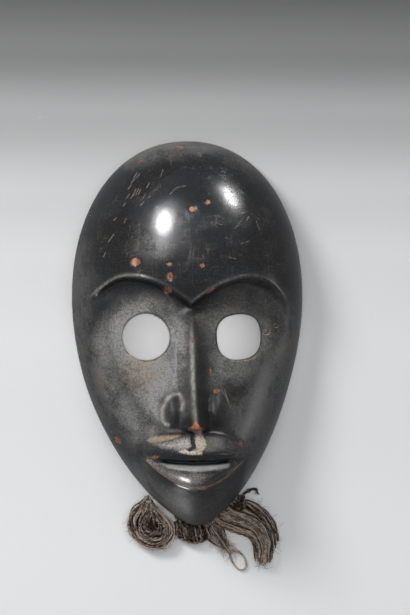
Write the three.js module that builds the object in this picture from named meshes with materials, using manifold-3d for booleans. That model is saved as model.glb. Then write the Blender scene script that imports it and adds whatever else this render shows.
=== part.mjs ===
// A carved wooden face mask with a beard of plant-fibre cords, lying on its back rim.
// Millimetres. +Z is out of the face, +Y towards the crown, +X to the right of someone facing it.
import * as THREE from 'three';
import { mergeVertices } from 'three/addons/utils/BufferGeometryUtils.js';
import Module from 'manifold-3d';

const { smoothstep, lerp, clamp } = THREE.MathUtils;

// The wood. Places on the face are shares: heights are shares of its length, up from the chin tip,
// and widths are shares of its half width. Depths and rises are in millimetres.
const faceLength = 240;
const faceWidth = 144.5;
const faceDepth = 54;          // back rim to the flat of the face
const foreheadSwell = 9;       // further out, at the forehead
const wall = 7.5;              // wood left at the rim
const faceWall = 8;            // wood left behind the face
const socketDepth = 9;         // step down under the brow
const browRise = 0.7;          // the fine raised line along the brow
const noseRiseBridge = 5;
const noseRiseTip = 18;
const wingRise = 7;
const muzzleRise = 12;
const lipRise = 9;
const eyeHoleWidth = 28.8;
const eyeHoleHeight = 27.9;
const eyeHoleFlare = 3;        // wider by this at the back rim's level
const eyeShift = 1.2;          // the pair of eyes stands this far to the right
const mouthSlitGap = 2;
const chinLean = 5.5;          // the chin tip stands this far to the right of the crown
const noseLean = 0.8;

// The ring of lashing holes in the rim, and the cords that pass through the lowest ones
const rimHoleDiameter = 2.4;
const rimHoleSpacing = 22;
const rimHoleHeight = 8.5;     // above the back rim
const tieDiameter = 1.6;
const tieKnotDiameter = 4.6;
const tieKnotGap = 1.6;        // inside knot to the wood
const tieEnd = 0.2;            // cord showing outside the wood
const touchGap = 0.4;          // between pieces that touch

// The beard: each bundle lies on the ground. Its length is from its hole to its far end, its width
// is at the widest place, and its height is above the ground.
const hankLength = 28;
const hankHeight = 10;
const bunchLength = 12;
const bunchWidth = 12;
const bunchHeight = 9.5;
const tailLength = 38;
const tailWidth = 8.5;
const tailHeight = 6;
const sweepLength = 42;
const sweepWidth = 14;
const sweepHeight = 10;
const lockLength = 42;
const lockWidth = 6.2;
const lockHeight = 6.5;
const stringLength = 10;
const stringDiameter = 2.2;
const knotDiameter = 5.2;
const knotHeight = 10;

// Proportions of the carving
const outline = { widest: 0.589, crownPower: 2.15, jawPower: 1.8, jawEase: 0.655 };
const profile = {
  swellFrom: 0.5, swellTo: 0.7, crownFrom: 0.64, crownPower: 2.3, chinTo: 0.2, chinPower: 2.4,
  sidePower: 1.8, foreheadAcross: 2.2, eyesAcross: 2.7, jawAcross: 2.3,
};
const brow = {
  cusp: 0.584, rise: 0.069, peakAt: 0.53, endAt: 0.89, stepRun: 0.018, fadeRun: 0.26, lineWidth: 0.004,
};
const eyes = { height: 0.4965, apart: 0.393 };
const nose = { bridge: 0.566, base: 0.276, bridgeHalf: 0.05, baseHalf: 0.145, baseArch: 0.009 };
const wings = { height: 0.3165, apart: 0.158, halfWidth: 0.1, halfHeight: 0.043 };
const mouth = {
  height: 0.184, half: 0.43, top: 0.262, topCorner: 0.238, edge: 0.2115, edgeCorner: 0.203,
  shelf: 0.165, shelfCorner: 0.184, bottom: 0.1185, corner: 0.1895, bottomBow: 1.75,
  muzzleHalf: 0.46, muzzleHeight: 0.115, slitHalf: 0.27, slitHeight: 0.186,
};

const halfWidth = faceWidth / 2;
const widestHeight = outline.widest * faceLength;
const wasm = await Module();
wasm.setup();

// Half the width of the rim at height y above the chin tip
function rimHalfWidth(y) {
  if (y <= 0 || y >= faceLength) return 0;
  if (y > widestHeight) {
    const up = (y - widestHeight) / (faceLength - widestHeight);
    return halfWidth * (1 - up ** outline.crownPower) ** (1 / outline.crownPower);
  }
  const down = (widestHeight - y) / widestHeight;
  return halfWidth * (1 - down ** outline.jawPower) ** outline.jawEase;
}

// Depth of the uncarved blank on the centre line
function centreDepth(y) {
  const v = clamp(y / faceLength, 0, 1);
  const swell = foreheadSwell * smoothstep(v, profile.swellFrom, profile.swellTo);
  const up = clamp((v - profile.crownFrom) / (1 - profile.crownFrom), 0, 1);
  const down = clamp((profile.chinTo - v) / profile.chinTo, 0, 1);
  const crownFall = (1 - up ** profile.crownPower) ** (1 / profile.crownPower);
  const chinFall = (1 - down ** profile.chinPower) ** (1 / profile.chinPower);
  return (faceDepth + swell) * crownFall * chinFall;
}

// Depth of the uncarved blank: a dome that meets the rim outline at the back
function blankDepth(x, y) {
  const half = rimHalfWidth(y);
  if (Math.abs(x) >= half) return 0;
  const v = y / faceLength;
  const upper = lerp(profile.eyesAcross, profile.foreheadAcross, smoothstep(v, 0.56, 0.75));
  const across = lerp(profile.jawAcross, upper, smoothstep(v, 0.15, 0.42));
  return centreDepth(y) * (1 - (Math.abs(x) / half) ** across) ** (1 / profile.sidePower);
}

// Height of the brow line at x: two arches that meet in a point over the nose
function browHeight(x) {
  const s = Math.abs(x) / halfWidth;
  const arch = s < brow.peakAt
    ? Math.sin((Math.PI / 2) * (s / brow.peakAt) ** 0.9)
    : Math.cos((Math.PI / 2) * Math.min((s - brow.peakAt) / (brow.endAt - brow.peakAt), 1.1));
  return faceLength * (brow.cusp + brow.rise * arch);
}

// How deep the eye zone is cut: deepest just under the brow, running out on the cheek
function socketCut(x, y) {
  const below = (browHeight(x) - y) / faceLength;
  const side = 1 - smoothstep(Math.abs(x) / halfWidth, 0.62, brow.endAt);
  const step = smoothstep(below, 0, brow.stepRun) * (1 - smoothstep(below, 0.03, brow.fadeRun));
  return socketDepth * side * step;
}

// The raised line along the brow runs out further on the left than on the right
function browLine(x, y) {
  const off = (y - browHeight(x)) / faceLength;
  const s = x / halfWidth;
  const side = s < 0 ? 1 - smoothstep(-s, 0.78, 0.9) : 1 - smoothstep(s, 0.3, 0.72);
  return browRise * side * Math.exp(-((off / brow.lineWidth) ** 2));
}

// Rise at height v through rows of [height share, rise], from the lowest row up
function riseThrough(rows, v) {
  for (let i = 1; i < rows.length; i += 1) {
    const [low, lowRise] = rows[i - 1];
    const [high, highRise] = rows[i];
    if (v <= high) return lerp(lowRise, highRise, clamp((v - low) / Math.max(high - low, 1e-6), 0, 1));
  }
  return 0;
}

// Heights of the lip lines at a share s of the half mouth: 0 at the middle, 1 at the corner
function lipLines(s) {
  return {
    bottom: lerp(mouth.bottom, mouth.corner, s ** mouth.bottomBow),
    shelf: lerp(mouth.shelf, mouth.shelfCorner, s ** 2),
    line: lerp(mouth.height, mouth.corner, s ** 2),
    edge: lerp(mouth.edge, mouth.edgeCorner, s ** 2),
    top: lerp(mouth.top, mouth.topCorner, s ** 2),
  };
}

function lipsRise(x, y) {
  const s = Math.abs(x) / (mouth.half * halfWidth);
  const v = y / faceLength;
  if (s >= 1) return 0;
  const at = lipLines(s);
  const taper = (1 - s ** 2.4) ** 0.7;
  const round = (share) => lerp(at.bottom, at.shelf, share);
  const rows = [
    [at.bottom - 0.001, 0], [at.bottom, 0.12], [round(0.25), 0.52], [round(0.5), 0.8],
    [round(0.75), 0.96], [at.shelf, 1], [at.line, 0.1], [at.line + 0.004, 0.05], [at.edge, 0.95],
    [at.top - 0.012, 0.5], [at.top, 0],
  ];
  return lipRise * taper * riseThrough(rows, v);
}

function muzzleSwell(x, y) {
  const offX = x / (mouth.muzzleHalf * halfWidth);
  const offY = (y / faceLength - mouth.height) / mouth.muzzleHeight;
  return muzzleRise * Math.exp(-(offX ** 2) - offY ** 2);
}

// Depth of the finished face, without the nose
function faceHeight(x, y) {
  const blank = blankDepth(x, y);
  const carved = muzzleSwell(x, y) + lipsRise(x, y) + browLine(x, y) - socketCut(x, y);
  return blank + carved * smoothstep(blank, 0, 0.35 * faceDepth);
}

// The outline at the back of the hollow is the rim's, drawn in by the wall; this scales it back out
function hollowToRim(x, y) {
  const stretchX = halfWidth / (halfWidth - wall);
  const stretchY = widestHeight / (widestHeight - wall);
  return [x * stretchX, widestHeight + (y - widestHeight) * stretchY];
}

// Depth of the hollow behind the face: a smaller, plainer blank
function hollowHeight(x, y) {
  const depth = blankDepth(...hollowToRim(x, y)) * ((faceDepth - faceWall) / faceDepth);
  const v = y / faceLength;
  const side = 1 - smoothstep(Math.abs(x) / halfWidth, 0.7, 0.98);
  const cut = 0.85 * socketDepth * side * smoothstep(v, 0.3, 0.42) * (1 - smoothstep(v, 0.62, 0.76));
  return Math.max(0, depth - (cut - 0.8 * muzzleSwell(x, y)) * smoothstep(depth, 0, 0.35 * faceDepth));
}

// Sideways lean of the lower face
function lean(y) {
  return chinLean * Math.max(0, 1 - y / (0.4 * faceLength)) ** 1.5;
}

// Distance from the pole along a direction to where `inside` first fails
function reach(pole, angle, inside) {
  let near = 0;
  let far = faceLength;
  for (let i = 0; i < 40; i += 1) {
    const mid = (near + far) / 2;
    if (inside(mid * Math.cos(angle), pole + mid * Math.sin(angle))) near = mid;
    else far = mid;
  }
  return near;
}

const insideRim = (x, y) => Math.abs(x) < rimHalfWidth(y);

// A closed blank turned on a lathe, with a flat back round the point `back` and `rings` round its front.
// place(spoke, ring) gives the front's x, y and depth; ring 0 is the pole and the last is the rim.
function carveBlank(spokes, rings, back, place) {
  const outer = Array.from({ length: rings + 1 }, (_, i) => new THREE.Vector2(rings - i, 1 + i));
  const blank = new THREE.LatheGeometry([new THREE.Vector2(0, 0), ...outer], spokes);
  const position = blank.attributes.position;
  const rows = rings + 2;
  for (let i = 0; i < position.count; i += 1) {
    const spoke = Math.floor(i / rows) % spokes;
    const ring = rings + 1 - (i % rows);
    position.setXYZ(i, ...(ring > rings ? back : place(spoke, ring)));
  }
  return blank;
}

// The same geometry with its faces turned round, for a blank that was mirrored
function flipped(geometry) {
  const position = geometry.attributes.position;
  const turned = [];
  for (let i = 0; i < position.count; i += 3) {
    [i, i + 2, i + 1].forEach((k) => turned.push(position.getX(k), position.getY(k), position.getZ(k)));
  }
  return new THREE.BufferGeometry().setAttribute('position', new THREE.Float32BufferAttribute(turned, 3));
}

function toSolid(geometry) {
  const bare = new THREE.BufferGeometry().setAttribute('position', geometry.getAttribute('position'));
  const merged = mergeVertices(bare.setIndex(geometry.index), 1e-4);
  const triangles = [];
  for (let i = 0; i < merged.index.count; i += 3) {
    const [a, b, c] = merged.index.array.slice(i, i + 3);
    if (a !== b && b !== c && c !== a) triangles.push(a, b, c);
  }
  return new wasm.Manifold(new wasm.Mesh({
    numProp: 3,
    vertProperties: merged.attributes.position.array,
    triVerts: new Uint32Array(triangles),
  }));
}

function toGeometry(solid) {
  const mesh = solid.getMesh();
  const geometry = new THREE.BufferGeometry();
  geometry.setAttribute('position', new THREE.BufferAttribute(new Float32Array(mesh.vertProperties), 3));
  geometry.setIndex(new THREE.BufferAttribute(new Uint32Array(mesh.triVerts), 1));
  geometry.computeVertexNormals();
  return geometry;
}

// The front of the mask. Its rings follow the mouth, the lips, the foot of the nose and the brow.
function frontSolid() {
  const spokes = 74;
  const pole = mouth.height * faceLength;
  const insideSlit = (x, y) => {
    const s = Math.abs(x) / (mouth.half * halfWidth);
    return s < 0.8 && Math.abs(y - pole) < 0.012 * faceLength * (1 - s ** 2);
  };
  const insideLips = (x, y) => {
    const s = Math.abs(x) / (mouth.half * halfWidth);
    if (s >= 1) return false;
    const at = lipLines(s);
    return y / faceLength > at.bottom && y / faceLength < at.top;
  };
  const insideMuzzle = (x, y) => y < nose.base * faceLength && insideRim(x * 1.16, pole + (y - pole) * 1.35);
  const insideBrow = (x, y) => y < browHeight(x) && insideRim(x * 1.08, pole + (y - pole) * 1.1);
  const bends = [insideSlit, insideLips, insideMuzzle, insideBrow, insideRim];
  // shares between one bend and the next; a bend that is a sharp step has a ring on either side of it
  const shares = [
    [0.5, 1], [0.2, 0.38, 0.58, 0.8, 0.97], [0.1, 0.5, 0.97], [0.12, 0.28, 0.46, 0.64, 0.8, 0.91, 0.985],
    [0.015, 0.07, 0.2, 0.38, 0.56, 0.72, 0.85, 0.935, 0.982, 1],
  ];
  // spokes stand closer together over the nose and forehead
  const angleOf = (spoke) => {
    const turn = spoke / spokes;
    return 2 * Math.PI * turn + Math.PI / 2 - 0.55 * Math.sin(2 * Math.PI * turn);
  };
  const distances = Array.from({ length: spokes }, (_, spoke) => {
    const angle = angleOf(spoke);
    const rim = reach(pole, angle, insideRim);
    const marks = bends.map((inside) => Math.min(reach(pole, angle, inside), rim));
    for (let k = 1; k < marks.length - 1; k += 1) {
      const left = marks.length - 1 - k;
      marks[k] = Math.min(Math.max(marks[k], marks[k - 1] + 0.035 * rim), rim * (1 - 0.12 * left));
    }
    return marks.flatMap((mark, k) => shares[k].map((s) => lerp(k ? marks[k - 1] : 0, mark, s)));
  });
  const rings = distances[0].length;
  return toSolid(carveBlank(spokes, rings, [lean(pole), pole, 0], (spoke, ring) => {
    const angle = angleOf(spoke);
    const distance = ring ? distances[spoke][ring - 1] : 0;
    const x = distance * Math.cos(angle);
    const y = pole + distance * Math.sin(angle);
    return [x + lean(y), y, ring === rings ? 0 : faceHeight(x, y)];
  }));
}

// The nose: a roof that widens downwards from the bridge and is cut off in a shallow arch under its tip
function noseSolid() {
  const side = 5;
  const right = Array.from({ length: side }, (_, i) => [1 - i / side, i / side]);
  const left = right.map(([a, h]) => [-a, h]).reverse();
  const section = [[1, -1], ...right, [0.06, 1], [-0.06, 1], ...left, [-1, -1]];
  const shape = new THREE.Shape(section.map(([a, h]) => new THREE.Vector2(a, h)));
  const length = (nose.bridge + 0.012 - nose.base) * faceLength;
  const blank = new THREE.ExtrudeGeometry(shape, { depth: length, steps: 9, bevelEnabled: false });
  blank.rotateX(-Math.PI / 2).scale(1, 1, -1);
  const position = blank.attributes.position;
  for (let i = 0; i < position.count; i += 1) {
    const up = position.getY(i) / length;
    const arch = nose.baseArch * (1 - up) * position.getX(i) ** 2;
    const y = (nose.base + arch) * faceLength + position.getY(i);
    const t = clamp((nose.bridge - y / faceLength) / (nose.bridge - nose.base), -0.05, 1);
    const down = Math.max(t, 0);
    const half = halfWidth * lerp(nose.bridgeHalf, nose.baseHalf, down ** 0.7);
    const rise = lerp(noseRiseBridge, noseRiseTip, down ** 0.9) * smoothstep(t, -0.05, 0.08);
    const h = position.getZ(i);
    const x = position.getX(i) * half;
    const z = faceHeight(x, y) + (h < 0 ? -0.4 * faceWall : h * rise - 0.05);
    position.setXYZ(i, x + noseLean * down + lean(y), y, z);
  }
  return toSolid(flipped(blank));
}

// A bulb beside the foot of the nose
function wingSolid(side) {
  const x = side * wings.apart * halfWidth + noseLean;
  const y = wings.height * faceLength;
  const bulb = new THREE.SphereGeometry(1, 12, 8);
  bulb.scale(wings.halfWidth * halfWidth, wings.halfHeight * faceLength, wingRise);
  return toSolid(bulb.translate(x + lean(y), y, faceHeight(x, y)));
}

// The hollow, as a cutter that reaches below the back rim
function hollowSolid() {
  const spokes = 36;
  const rings = 10;
  const pole = 0.45 * faceLength;
  const below = -5;
  const insideHollow = (x, y) => insideRim(...hollowToRim(x, y));
  return toSolid(carveBlank(spokes, rings, [lean(pole), pole, below], (spoke, ring) => {
    const angle = (2 * Math.PI * spoke) / spokes;
    const rim = reach(pole, angle, insideHollow);
    const out = Math.min(ring / (rings - 1), 1);
    const distance = rim * Math.sin((Math.PI / 2) * out) ** 0.9;
    const x = distance * Math.cos(angle);
    const y = pole + distance * Math.sin(angle);
    if (ring === rings) return [x + lean(y), y, below];
    return [x + lean(y), y, out === 1 ? 0 : hollowHeight(x, y)];
  }));
}

// An eye hole has its stated size at the flat of the face and flares a little towards the back
function eyeCutter(side) {
  const radiusAt = (z) => eyeHoleWidth / 2 + (eyeHoleFlare / 2) * (1 - z / faceDepth);
  const cutter = new THREE.CylinderGeometry(radiusAt(2 * faceDepth), radiusAt(-faceDepth), 3 * faceDepth, 26);
  cutter.rotateX(Math.PI / 2);
  cutter.scale(1, eyeHoleHeight / eyeHoleWidth, 1);
  cutter.translate(side * eyes.apart * halfWidth + eyeShift, eyes.height * faceLength, faceDepth / 2);
  return toSolid(cutter);
}

// The breathing slit between the lips
function slitCutter() {
  const half = mouth.slitHalf * halfWidth;
  const slit = new THREE.Shape();
  slit.absellipse(0, 0, half, mouthSlitGap / 2, 0, 2 * Math.PI);
  const depth = 3 * faceDepth;
  const cutter = new THREE.ExtrudeGeometry(slit, { depth, bevelEnabled: false, curveSegments: 10 });
  const y = mouth.slitHeight * faceLength;
  cutter.translate(lean(y), y, 0.25 * faceDepth);
  return toSolid(cutter);
}

// Wood between a point of the rim and the hollow, at the height of the lashing holes and their knots
function woodBehind(point, out) {
  const top = rimHoleHeight + tieKnotDiameter / 2;
  let depth = wall;
  while (depth < 6 * wall) {
    const x = point.x - depth * out.x;
    const y = point.y - depth * out.y;
    if (hollowHeight(x - lean(y), y) > top) return depth;
    depth += 0.1;
  }
  return depth;
}

// Points and outward directions round the rim, every rimHoleSpacing or so, counted from the chin tip
function rimStations() {
  const steps = 720;
  const track = Array.from({ length: steps + 1 }, (_, i) => {
    const angle = -Math.PI / 2 + (2 * Math.PI * i) / steps;
    const pole = 0.45 * faceLength;
    const far = reach(pole, angle, insideRim);
    const y = pole + far * Math.sin(angle);
    return new THREE.Vector3(far * Math.cos(angle) + lean(y), y, 0);
  });
  const rim = new THREE.CatmullRomCurve3(track.slice(0, -1), true);
  rim.arcLengthDivisions = steps;
  const count = Math.round(rim.getLength() / rimHoleSpacing);
  return Array.from({ length: count }, (_, i) => {
    const share = (i + 0.5) / count;
    const point = rim.getPointAt(share);
    const along = rim.getTangentAt(share);
    const out = new THREE.Vector3(along.y, -along.x, 0).normalize();
    return { point, out, wood: woodBehind(point, out) };
  });
}

// Turns a piece built along +Y so that it points out through a rim hole, its zero at the rim
function throughRim(geometry, { point, out }) {
  const turn = new THREE.Quaternion().setFromUnitVectors(new THREE.Vector3(0, 1, 0), out);
  return geometry.applyQuaternion(turn).translate(point.x, point.y, rimHoleHeight);
}

function rimHoleCutter(station) {
  const radius = rimHoleDiameter / 2;
  const length = station.wood + 2 * wall;
  const cutter = new THREE.CylinderGeometry(radius, radius, length, 6).translate(0, wall - length / 2, 0);
  return toSolid(throughRim(cutter, station));
}

// A short cord through a rim hole, with its stopper knot inside the mask
function tieCord(station) {
  const radius = tieDiameter / 2;
  const knot = tieKnotDiameter / 2;
  const inner = -station.wood - tieKnotGap;
  const points = [
    [0, inner - 2 * knot], [0.7 * knot, inner - 1.75 * knot], [knot, inner - knot],
    [0.75 * knot, inner - 0.35 * knot], [radius, inner], [radius, tieEnd], [0, tieEnd],
  ].map(([r, h]) => new THREE.Vector2(r, h));
  return throughRim(new THREE.LatheGeometry(points, 6), station);
}

// Points given as [along the rim, out from it] at a rim hole, turned into x and y
function fromRim({ point, out }, places) {
  return places.map(([along, away]) => [
    point.x - out.y * along + out.x * away,
    point.y + out.x * along + out.y * away,
  ]);
}

// A closed bundle of cords that lies on the ground along a path of [x, y] points. widths are its full
// widths at the points; its section is a fluted ellipse, cut flat where it meets the ground.
function groundBundle(path, widths, height, sides, steps) {
  const line = new THREE.CatmullRomCurve3(path.map(([x, y]) => new THREE.Vector3(x, y, 0)));
  const sleeve = Array.from({ length: steps + 1 }, (_, i) => [1, i]);
  const section = [[0, 0], ...sleeve, [0, steps]].map(([r, h]) => new THREE.Vector2(r, h));
  const bundle = new THREE.LatheGeometry(section, sides);
  const position = bundle.attributes.position;
  const rows = steps + 3;
  for (let i = 0; i < position.count; i += 1) {
    const row = i % rows;
    const side = Math.floor(i / rows) % sides;
    const turn = (2 * Math.PI * side) / sides;
    const share = clamp((row - 1) / steps, 0, 1);
    const flute = row === 0 || row === rows - 1 ? 0 : 1 - 0.13 * (side % 2);
    const at = line.getPoint(share);
    const across = line.getTangent(share);
    const place = share * (widths.length - 1);
    const low = Math.min(Math.floor(place), widths.length - 2);
    const half = lerp(widths[low], widths[low + 1], place - low) / 2;
    const radius = Math.min(0.6 * height, 1.2 * half);
    const centre = Math.min(0.4 * height, 0.8 * half);
    const off = flute * half * Math.cos(turn);
    const z = Math.max(centre + flute * radius * Math.sin(turn), 0);
    position.setXYZ(i, at.x - across.y * off, at.y + across.x * off, z);
  }
  return bundle;
}

// A hank of loops: a mound with a hole-like dimple, ridged by the turns of cord
function hank(path, centre, height) {
  const spokes = 24;
  const ridges = [0.2, 0.26, 0.62, 0.54, 0.9, 0.78, 1, 0.84, 0.86, 0.5, 0];
  const rings = ridges.length - 1;
  const line = new THREE.CatmullRomCurve3(path.map(([x, y]) => new THREE.Vector3(x, y, 0)), true);
  return carveBlank(spokes, rings, [...centre, 0], (spoke, ring) => {
    const edge = line.getPoint(spoke / spokes);
    const share = (ring / rings) ** 0.85;
    return [lerp(centre[0], edge.x, share), lerp(centre[1], edge.y, share), height * ridges[ring]];
  });
}

const stations = rimStations();
const count = stations.length;
// the four lowest holes, from the left jaw to the right jaw
const [leftJaw, leftChin] = stations.slice(count - 2);
const [rightChin, rightJaw] = stations;

function maskGeometry() {
  const cutters = [hollowSolid(), eyeCutter(-1), eyeCutter(1), slitCutter(), ...stations.map(rimHoleCutter)];
  const carved = frontSolid().add(noseSolid()).add(wingSolid(-1)).add(wingSolid(1));
  return toGeometry(cutters.reduce((wood, cutter) => wood.subtract(cutter), carved));
}

const blackWood = new THREE.MeshStandardMaterial({ color: 0x1c1b1a, roughness: 0.35, metalness: 0 });
const brownFibre = new THREE.MeshStandardMaterial({ color: 0x4a3f38, roughness: 0.9, metalness: 0 });

const object = new THREE.Group();
function add(name, geometry, material) {
  const mesh = new THREE.Mesh(geometry, material);
  mesh.name = name;
  object.add(mesh);
}

add('mask', maskGeometry(), blackWood);
add('tie_left_jaw', tieCord(leftJaw), brownFibre);
add('tie_left_chin', tieCord(leftChin), brownFibre);
add('tie_right_chin', tieCord(rightChin), brownFibre);
add('tie_right_jaw', tieCord(rightJaw), brownFibre);

// Each bundle starts at the end of its tie. Its places are shares of its length, as [along the rim,
// out from it], and the outward ones count from where the bundle is clear of the rim and the tie.
const clear = tieEnd + touchGap;
function spread(length, places) {
  return places.map(([along, away]) => [along * length, clear + away * length]);
}

const hankEdge = spread(hankLength, [
  [-0.15, 0.005], [-0.17, 0.18], [-0.19, 0.45], [-0.11, 0.7], [0.06, 0.86], [0.33, 0.95], [0.65, 0.91],
  [0.86, 0.75], [1, 0.55], [0.92, 0.27], [0.63, 0.07], [0.3, 0.06], [0.07, 0.06],
]);
const [hankCentre] = fromRim(leftJaw, spread(hankLength, [[0.46, 0.41]]));
add('fiber_hank_left', hank(fromRim(leftJaw, hankEdge), hankCentre, hankHeight), brownFibre);

const chinTip = { point: new THREE.Vector3(lean(0), 0, 0), out: new THREE.Vector3(0, -1, 0) };
const bunchPath = [
  ...fromRim(leftChin, spread(bunchLength, [[-0.05, 0.1]])),
  ...fromRim(chinTip, spread(bunchLength, [[-0.71, 0.42], [-0.25, 0.52], [0.34, 0.5]])),
];
const bunchWidths = [0.35, 0.92, 1, 0.78].map((share) => share * bunchWidth);
add('fiber_bunch_chin', groundBundle(bunchPath, bunchWidths, bunchHeight, 10, 11), brownFibre);

const tailPath = fromRim(rightChin, spread(tailLength, [
  [-0.14, 0.07], [-0.1, 0.25], [-0.07, 0.46], [-0.05, 0.63], [-0.11, 0.77], [-0.09, 0.94], [0.01, 0.98],
  [0.08, 0.89], [0.08, 0.76],
]));
const tailWidths = [0.6, 1, 0.7, 0.36, 0.31, 0.31, 0.31, 0.29, 0.26].map((share) => share * tailWidth);
add('fiber_tail_loop', groundBundle(tailPath, tailWidths, tailHeight, 8, 17), brownFibre);

const sweepPath = fromRim(rightChin, spread(sweepLength, [
  [0.02, 0.04], [0.16, 0.14], [0.32, 0.26], [0.43, 0.4], [0.475, 0.55], [0.455, 0.695],
  [0.375, 0.83], [0.26, 0.97],
]));
const sweepWidths = [0.32, 0.76, 1, 0.97, 0.88, 0.78, 0.7, 0.58].map((share) => share * sweepWidth);
add('fiber_sweep_right', groundBundle(sweepPath, sweepWidths, sweepHeight, 14, 13), brownFibre);

const knotOut = clear + knotDiameter / 2;
const knot = new THREE.SphereGeometry(knotDiameter / 2, 10, 7);
const [knotAt] = fromRim(rightJaw, [[0, knotOut]]);
knot.rotateX(Math.PI / 2).scale(1, 1, knotHeight / knotDiameter).translate(...knotAt, knotHeight / 2);
add('tie_knot_right', knot, brownFibre);

const pastKnot = knotOut + knotDiameter / 2 + touchGap;
const lockPath = fromRim(rightJaw, [[-0.2 * tieDiameter, pastKnot], ...spread(lockLength, [
  [0.02, 0.28], [0.055, 0.53], [0.015, 0.715], [-0.09, 0.885], [-0.22, 0.98], [-0.3, 0.975],
])]);
const lockWidths = [0.5, 0.8, 1, 1, 0.92, 0.75, 0.6].map((share) => share * lockWidth);
add('fiber_lock_outer', groundBundle(lockPath, lockWidths, lockHeight, 10, 14), brownFibre);

const besideKnot = [knotDiameter / 2 + touchGap, knotOut - touchGap / 2];
const stringPath = fromRim(rightJaw, [besideKnot, ...spread(stringLength, [
  [0.56, 0.34], [0.8, 0.44], [0.96, 0.66], [0.86, 0.95],
])]);
const stringWidths = [1, 1, 0.95, 0.9, 0.8].map((share) => share * stringDiameter);
add('tie_string_end', groundBundle(stringPath, stringWidths, stringDiameter, 8, 8), brownFibre);

// The object's origin is under the middle of its bounding box
object.updateMatrixWorld(true);
const bounds = new THREE.Box3().setFromObject(object, true);
const middle = bounds.getCenter(new THREE.Vector3());
object.position.set(-middle.x, -middle.y, -bounds.min.z);

export default object;
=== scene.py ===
# A carved wooden face mask with a beard of plant-fibre cords, lying on a pale floor.
import math

import bmesh
import bpy
import numpy as np
from mathutils import Matrix, Vector


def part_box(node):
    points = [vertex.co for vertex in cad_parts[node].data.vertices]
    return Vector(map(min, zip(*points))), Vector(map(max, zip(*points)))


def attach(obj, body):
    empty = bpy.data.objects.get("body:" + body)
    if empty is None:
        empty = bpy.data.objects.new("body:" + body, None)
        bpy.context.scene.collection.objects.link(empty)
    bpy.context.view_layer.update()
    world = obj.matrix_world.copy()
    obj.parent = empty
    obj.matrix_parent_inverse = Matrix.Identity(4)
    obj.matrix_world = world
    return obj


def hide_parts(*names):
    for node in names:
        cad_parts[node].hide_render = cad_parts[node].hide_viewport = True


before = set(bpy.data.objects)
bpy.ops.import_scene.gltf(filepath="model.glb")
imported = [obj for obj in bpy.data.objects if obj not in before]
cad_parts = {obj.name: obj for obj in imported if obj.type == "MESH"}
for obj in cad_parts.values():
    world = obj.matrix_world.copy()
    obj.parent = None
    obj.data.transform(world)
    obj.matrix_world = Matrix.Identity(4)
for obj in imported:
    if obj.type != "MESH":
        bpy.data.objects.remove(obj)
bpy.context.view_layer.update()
mm = 0.001
bpy.context.scene.render.film_transparent = False

view = {
    "azimuth": -3.0,        # degrees; the camera stands this far to the left of the mask's middle
    "fromCrown": 1.5,       # degrees; and this far towards the crown
    "distance": 1.6,
    "frameWidth": 0.2569,   # metres of the floor plane across the image
    "centreX": 0.0111,
    "centreY": 0.0310,
    "pixelWidth": 410,
    "pixelHeight": 615,
}


def makeCamera():
    data = bpy.data.cameras.new("camera")
    camera = bpy.data.objects.new("camera", data)
    bpy.context.scene.collection.objects.link(camera)
    bpy.context.scene.camera = camera
    target = Vector((view["centreX"], view["centreY"], 0))
    across, up = math.radians(view["azimuth"]), math.radians(view["fromCrown"])
    away = Vector((math.sin(across), math.sin(up), math.cos(across) * math.cos(up))).normalized()
    camera.location = target + away * view["distance"]
    right = Vector((0, 1, 0)).cross(away).normalized()
    camera.rotation_euler = Matrix((right, away.cross(right), away)).transposed().to_euler()
    frameHeight = view["frameWidth"] * view["pixelHeight"] / view["pixelWidth"]
    data.lens = data.sensor_width * view["distance"] / frameHeight
    data.clip_start, data.clip_end = 0.05, 20
    print("camera", view["distance"], "m from the mask")


makeCamera()

# The mask. Lengths are in millimetres; places are shares of the face's length and half width.
maskLow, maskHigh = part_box("mask")
faceLength = (maskHigh.y - maskLow.y) / mm
halfWidth = (maskHigh.x - maskLow.x) / 2 / mm
middleX = (maskHigh.x + maskLow.x) / 2 / mm
chinY = maskLow.y / mm

wood = {
    "columns": 226, "rows": 366,
    "innerColumns": 70, "innerRows": 110, "gridEase": 0.12, "sharpAngle": 50,
    "depth": 54, "swell": 9, "wall": 7.5, "faceWall": 8,
    "socketDepth": 9, "browRise": 0.7,
    "noseRiseBridge": 5, "noseRiseTip": 18, "wingRise": 5.5,
    "muzzleRise": 12, "lipRise": 9, "gouges": 0.35,
    "eyeWidth": 28.8, "eyeHeight": 27.9, "eyeEdge": 1.6,
    "eyeFlare": 3, "eyeShift": 1.2, "slitGap": 2.0, "chinLean": 5.5, "noseLean": 0.8,
    "holeDiameter": 2.4, "holeSpacing": 22, "holeHeight": 8.5,
}
widest, crownPower, jawPower, jawEase = 0.589, 2.15, 1.8, 0.655
brow = {"cusp": 0.584, "rise": 0.069, "peakAt": 0.53, "endAt": 0.89}
eyes = {"height": 0.4965, "apart": 0.393, "rightCorners": 0.5, "cornerTurn": -3.4, "leftWave": 0.12}
nose = {
    "bridge": 0.566, "base": 0.275, "leftHalf": (0.08, 0.112), "rightHalf": (0.125, 0.118),
    "ridge": (0.5, 1.1), "soft": (3.4, 1.5), "baseArch": 0.009, "under": 0.016, "shift": 0.5,
}
wings = {"height": 0.3155, "apart": 0.182, "halfWidth": 0.093, "halfHeight": 0.042}
mouth = {
    "height": 0.184, "half": 0.43, "muzzleHalf": 0.46, "muzzleHeight": 0.115,
    "slitHalf": 0.285, "slitHeight": 0.186, "valley": 0.6,
}
lipLines = {   # height in the middle and at the corner, and how late the line bends towards the corner
    "top": (0.262, 0.238, 2), "edge": (0.2115, 0.203, 2), "parting": (mouth["height"], 0.1895, 2),
    "shelf": (0.165, 0.184, 2), "bottom": (0.1185, 0.1895, 1.75),
}
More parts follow.
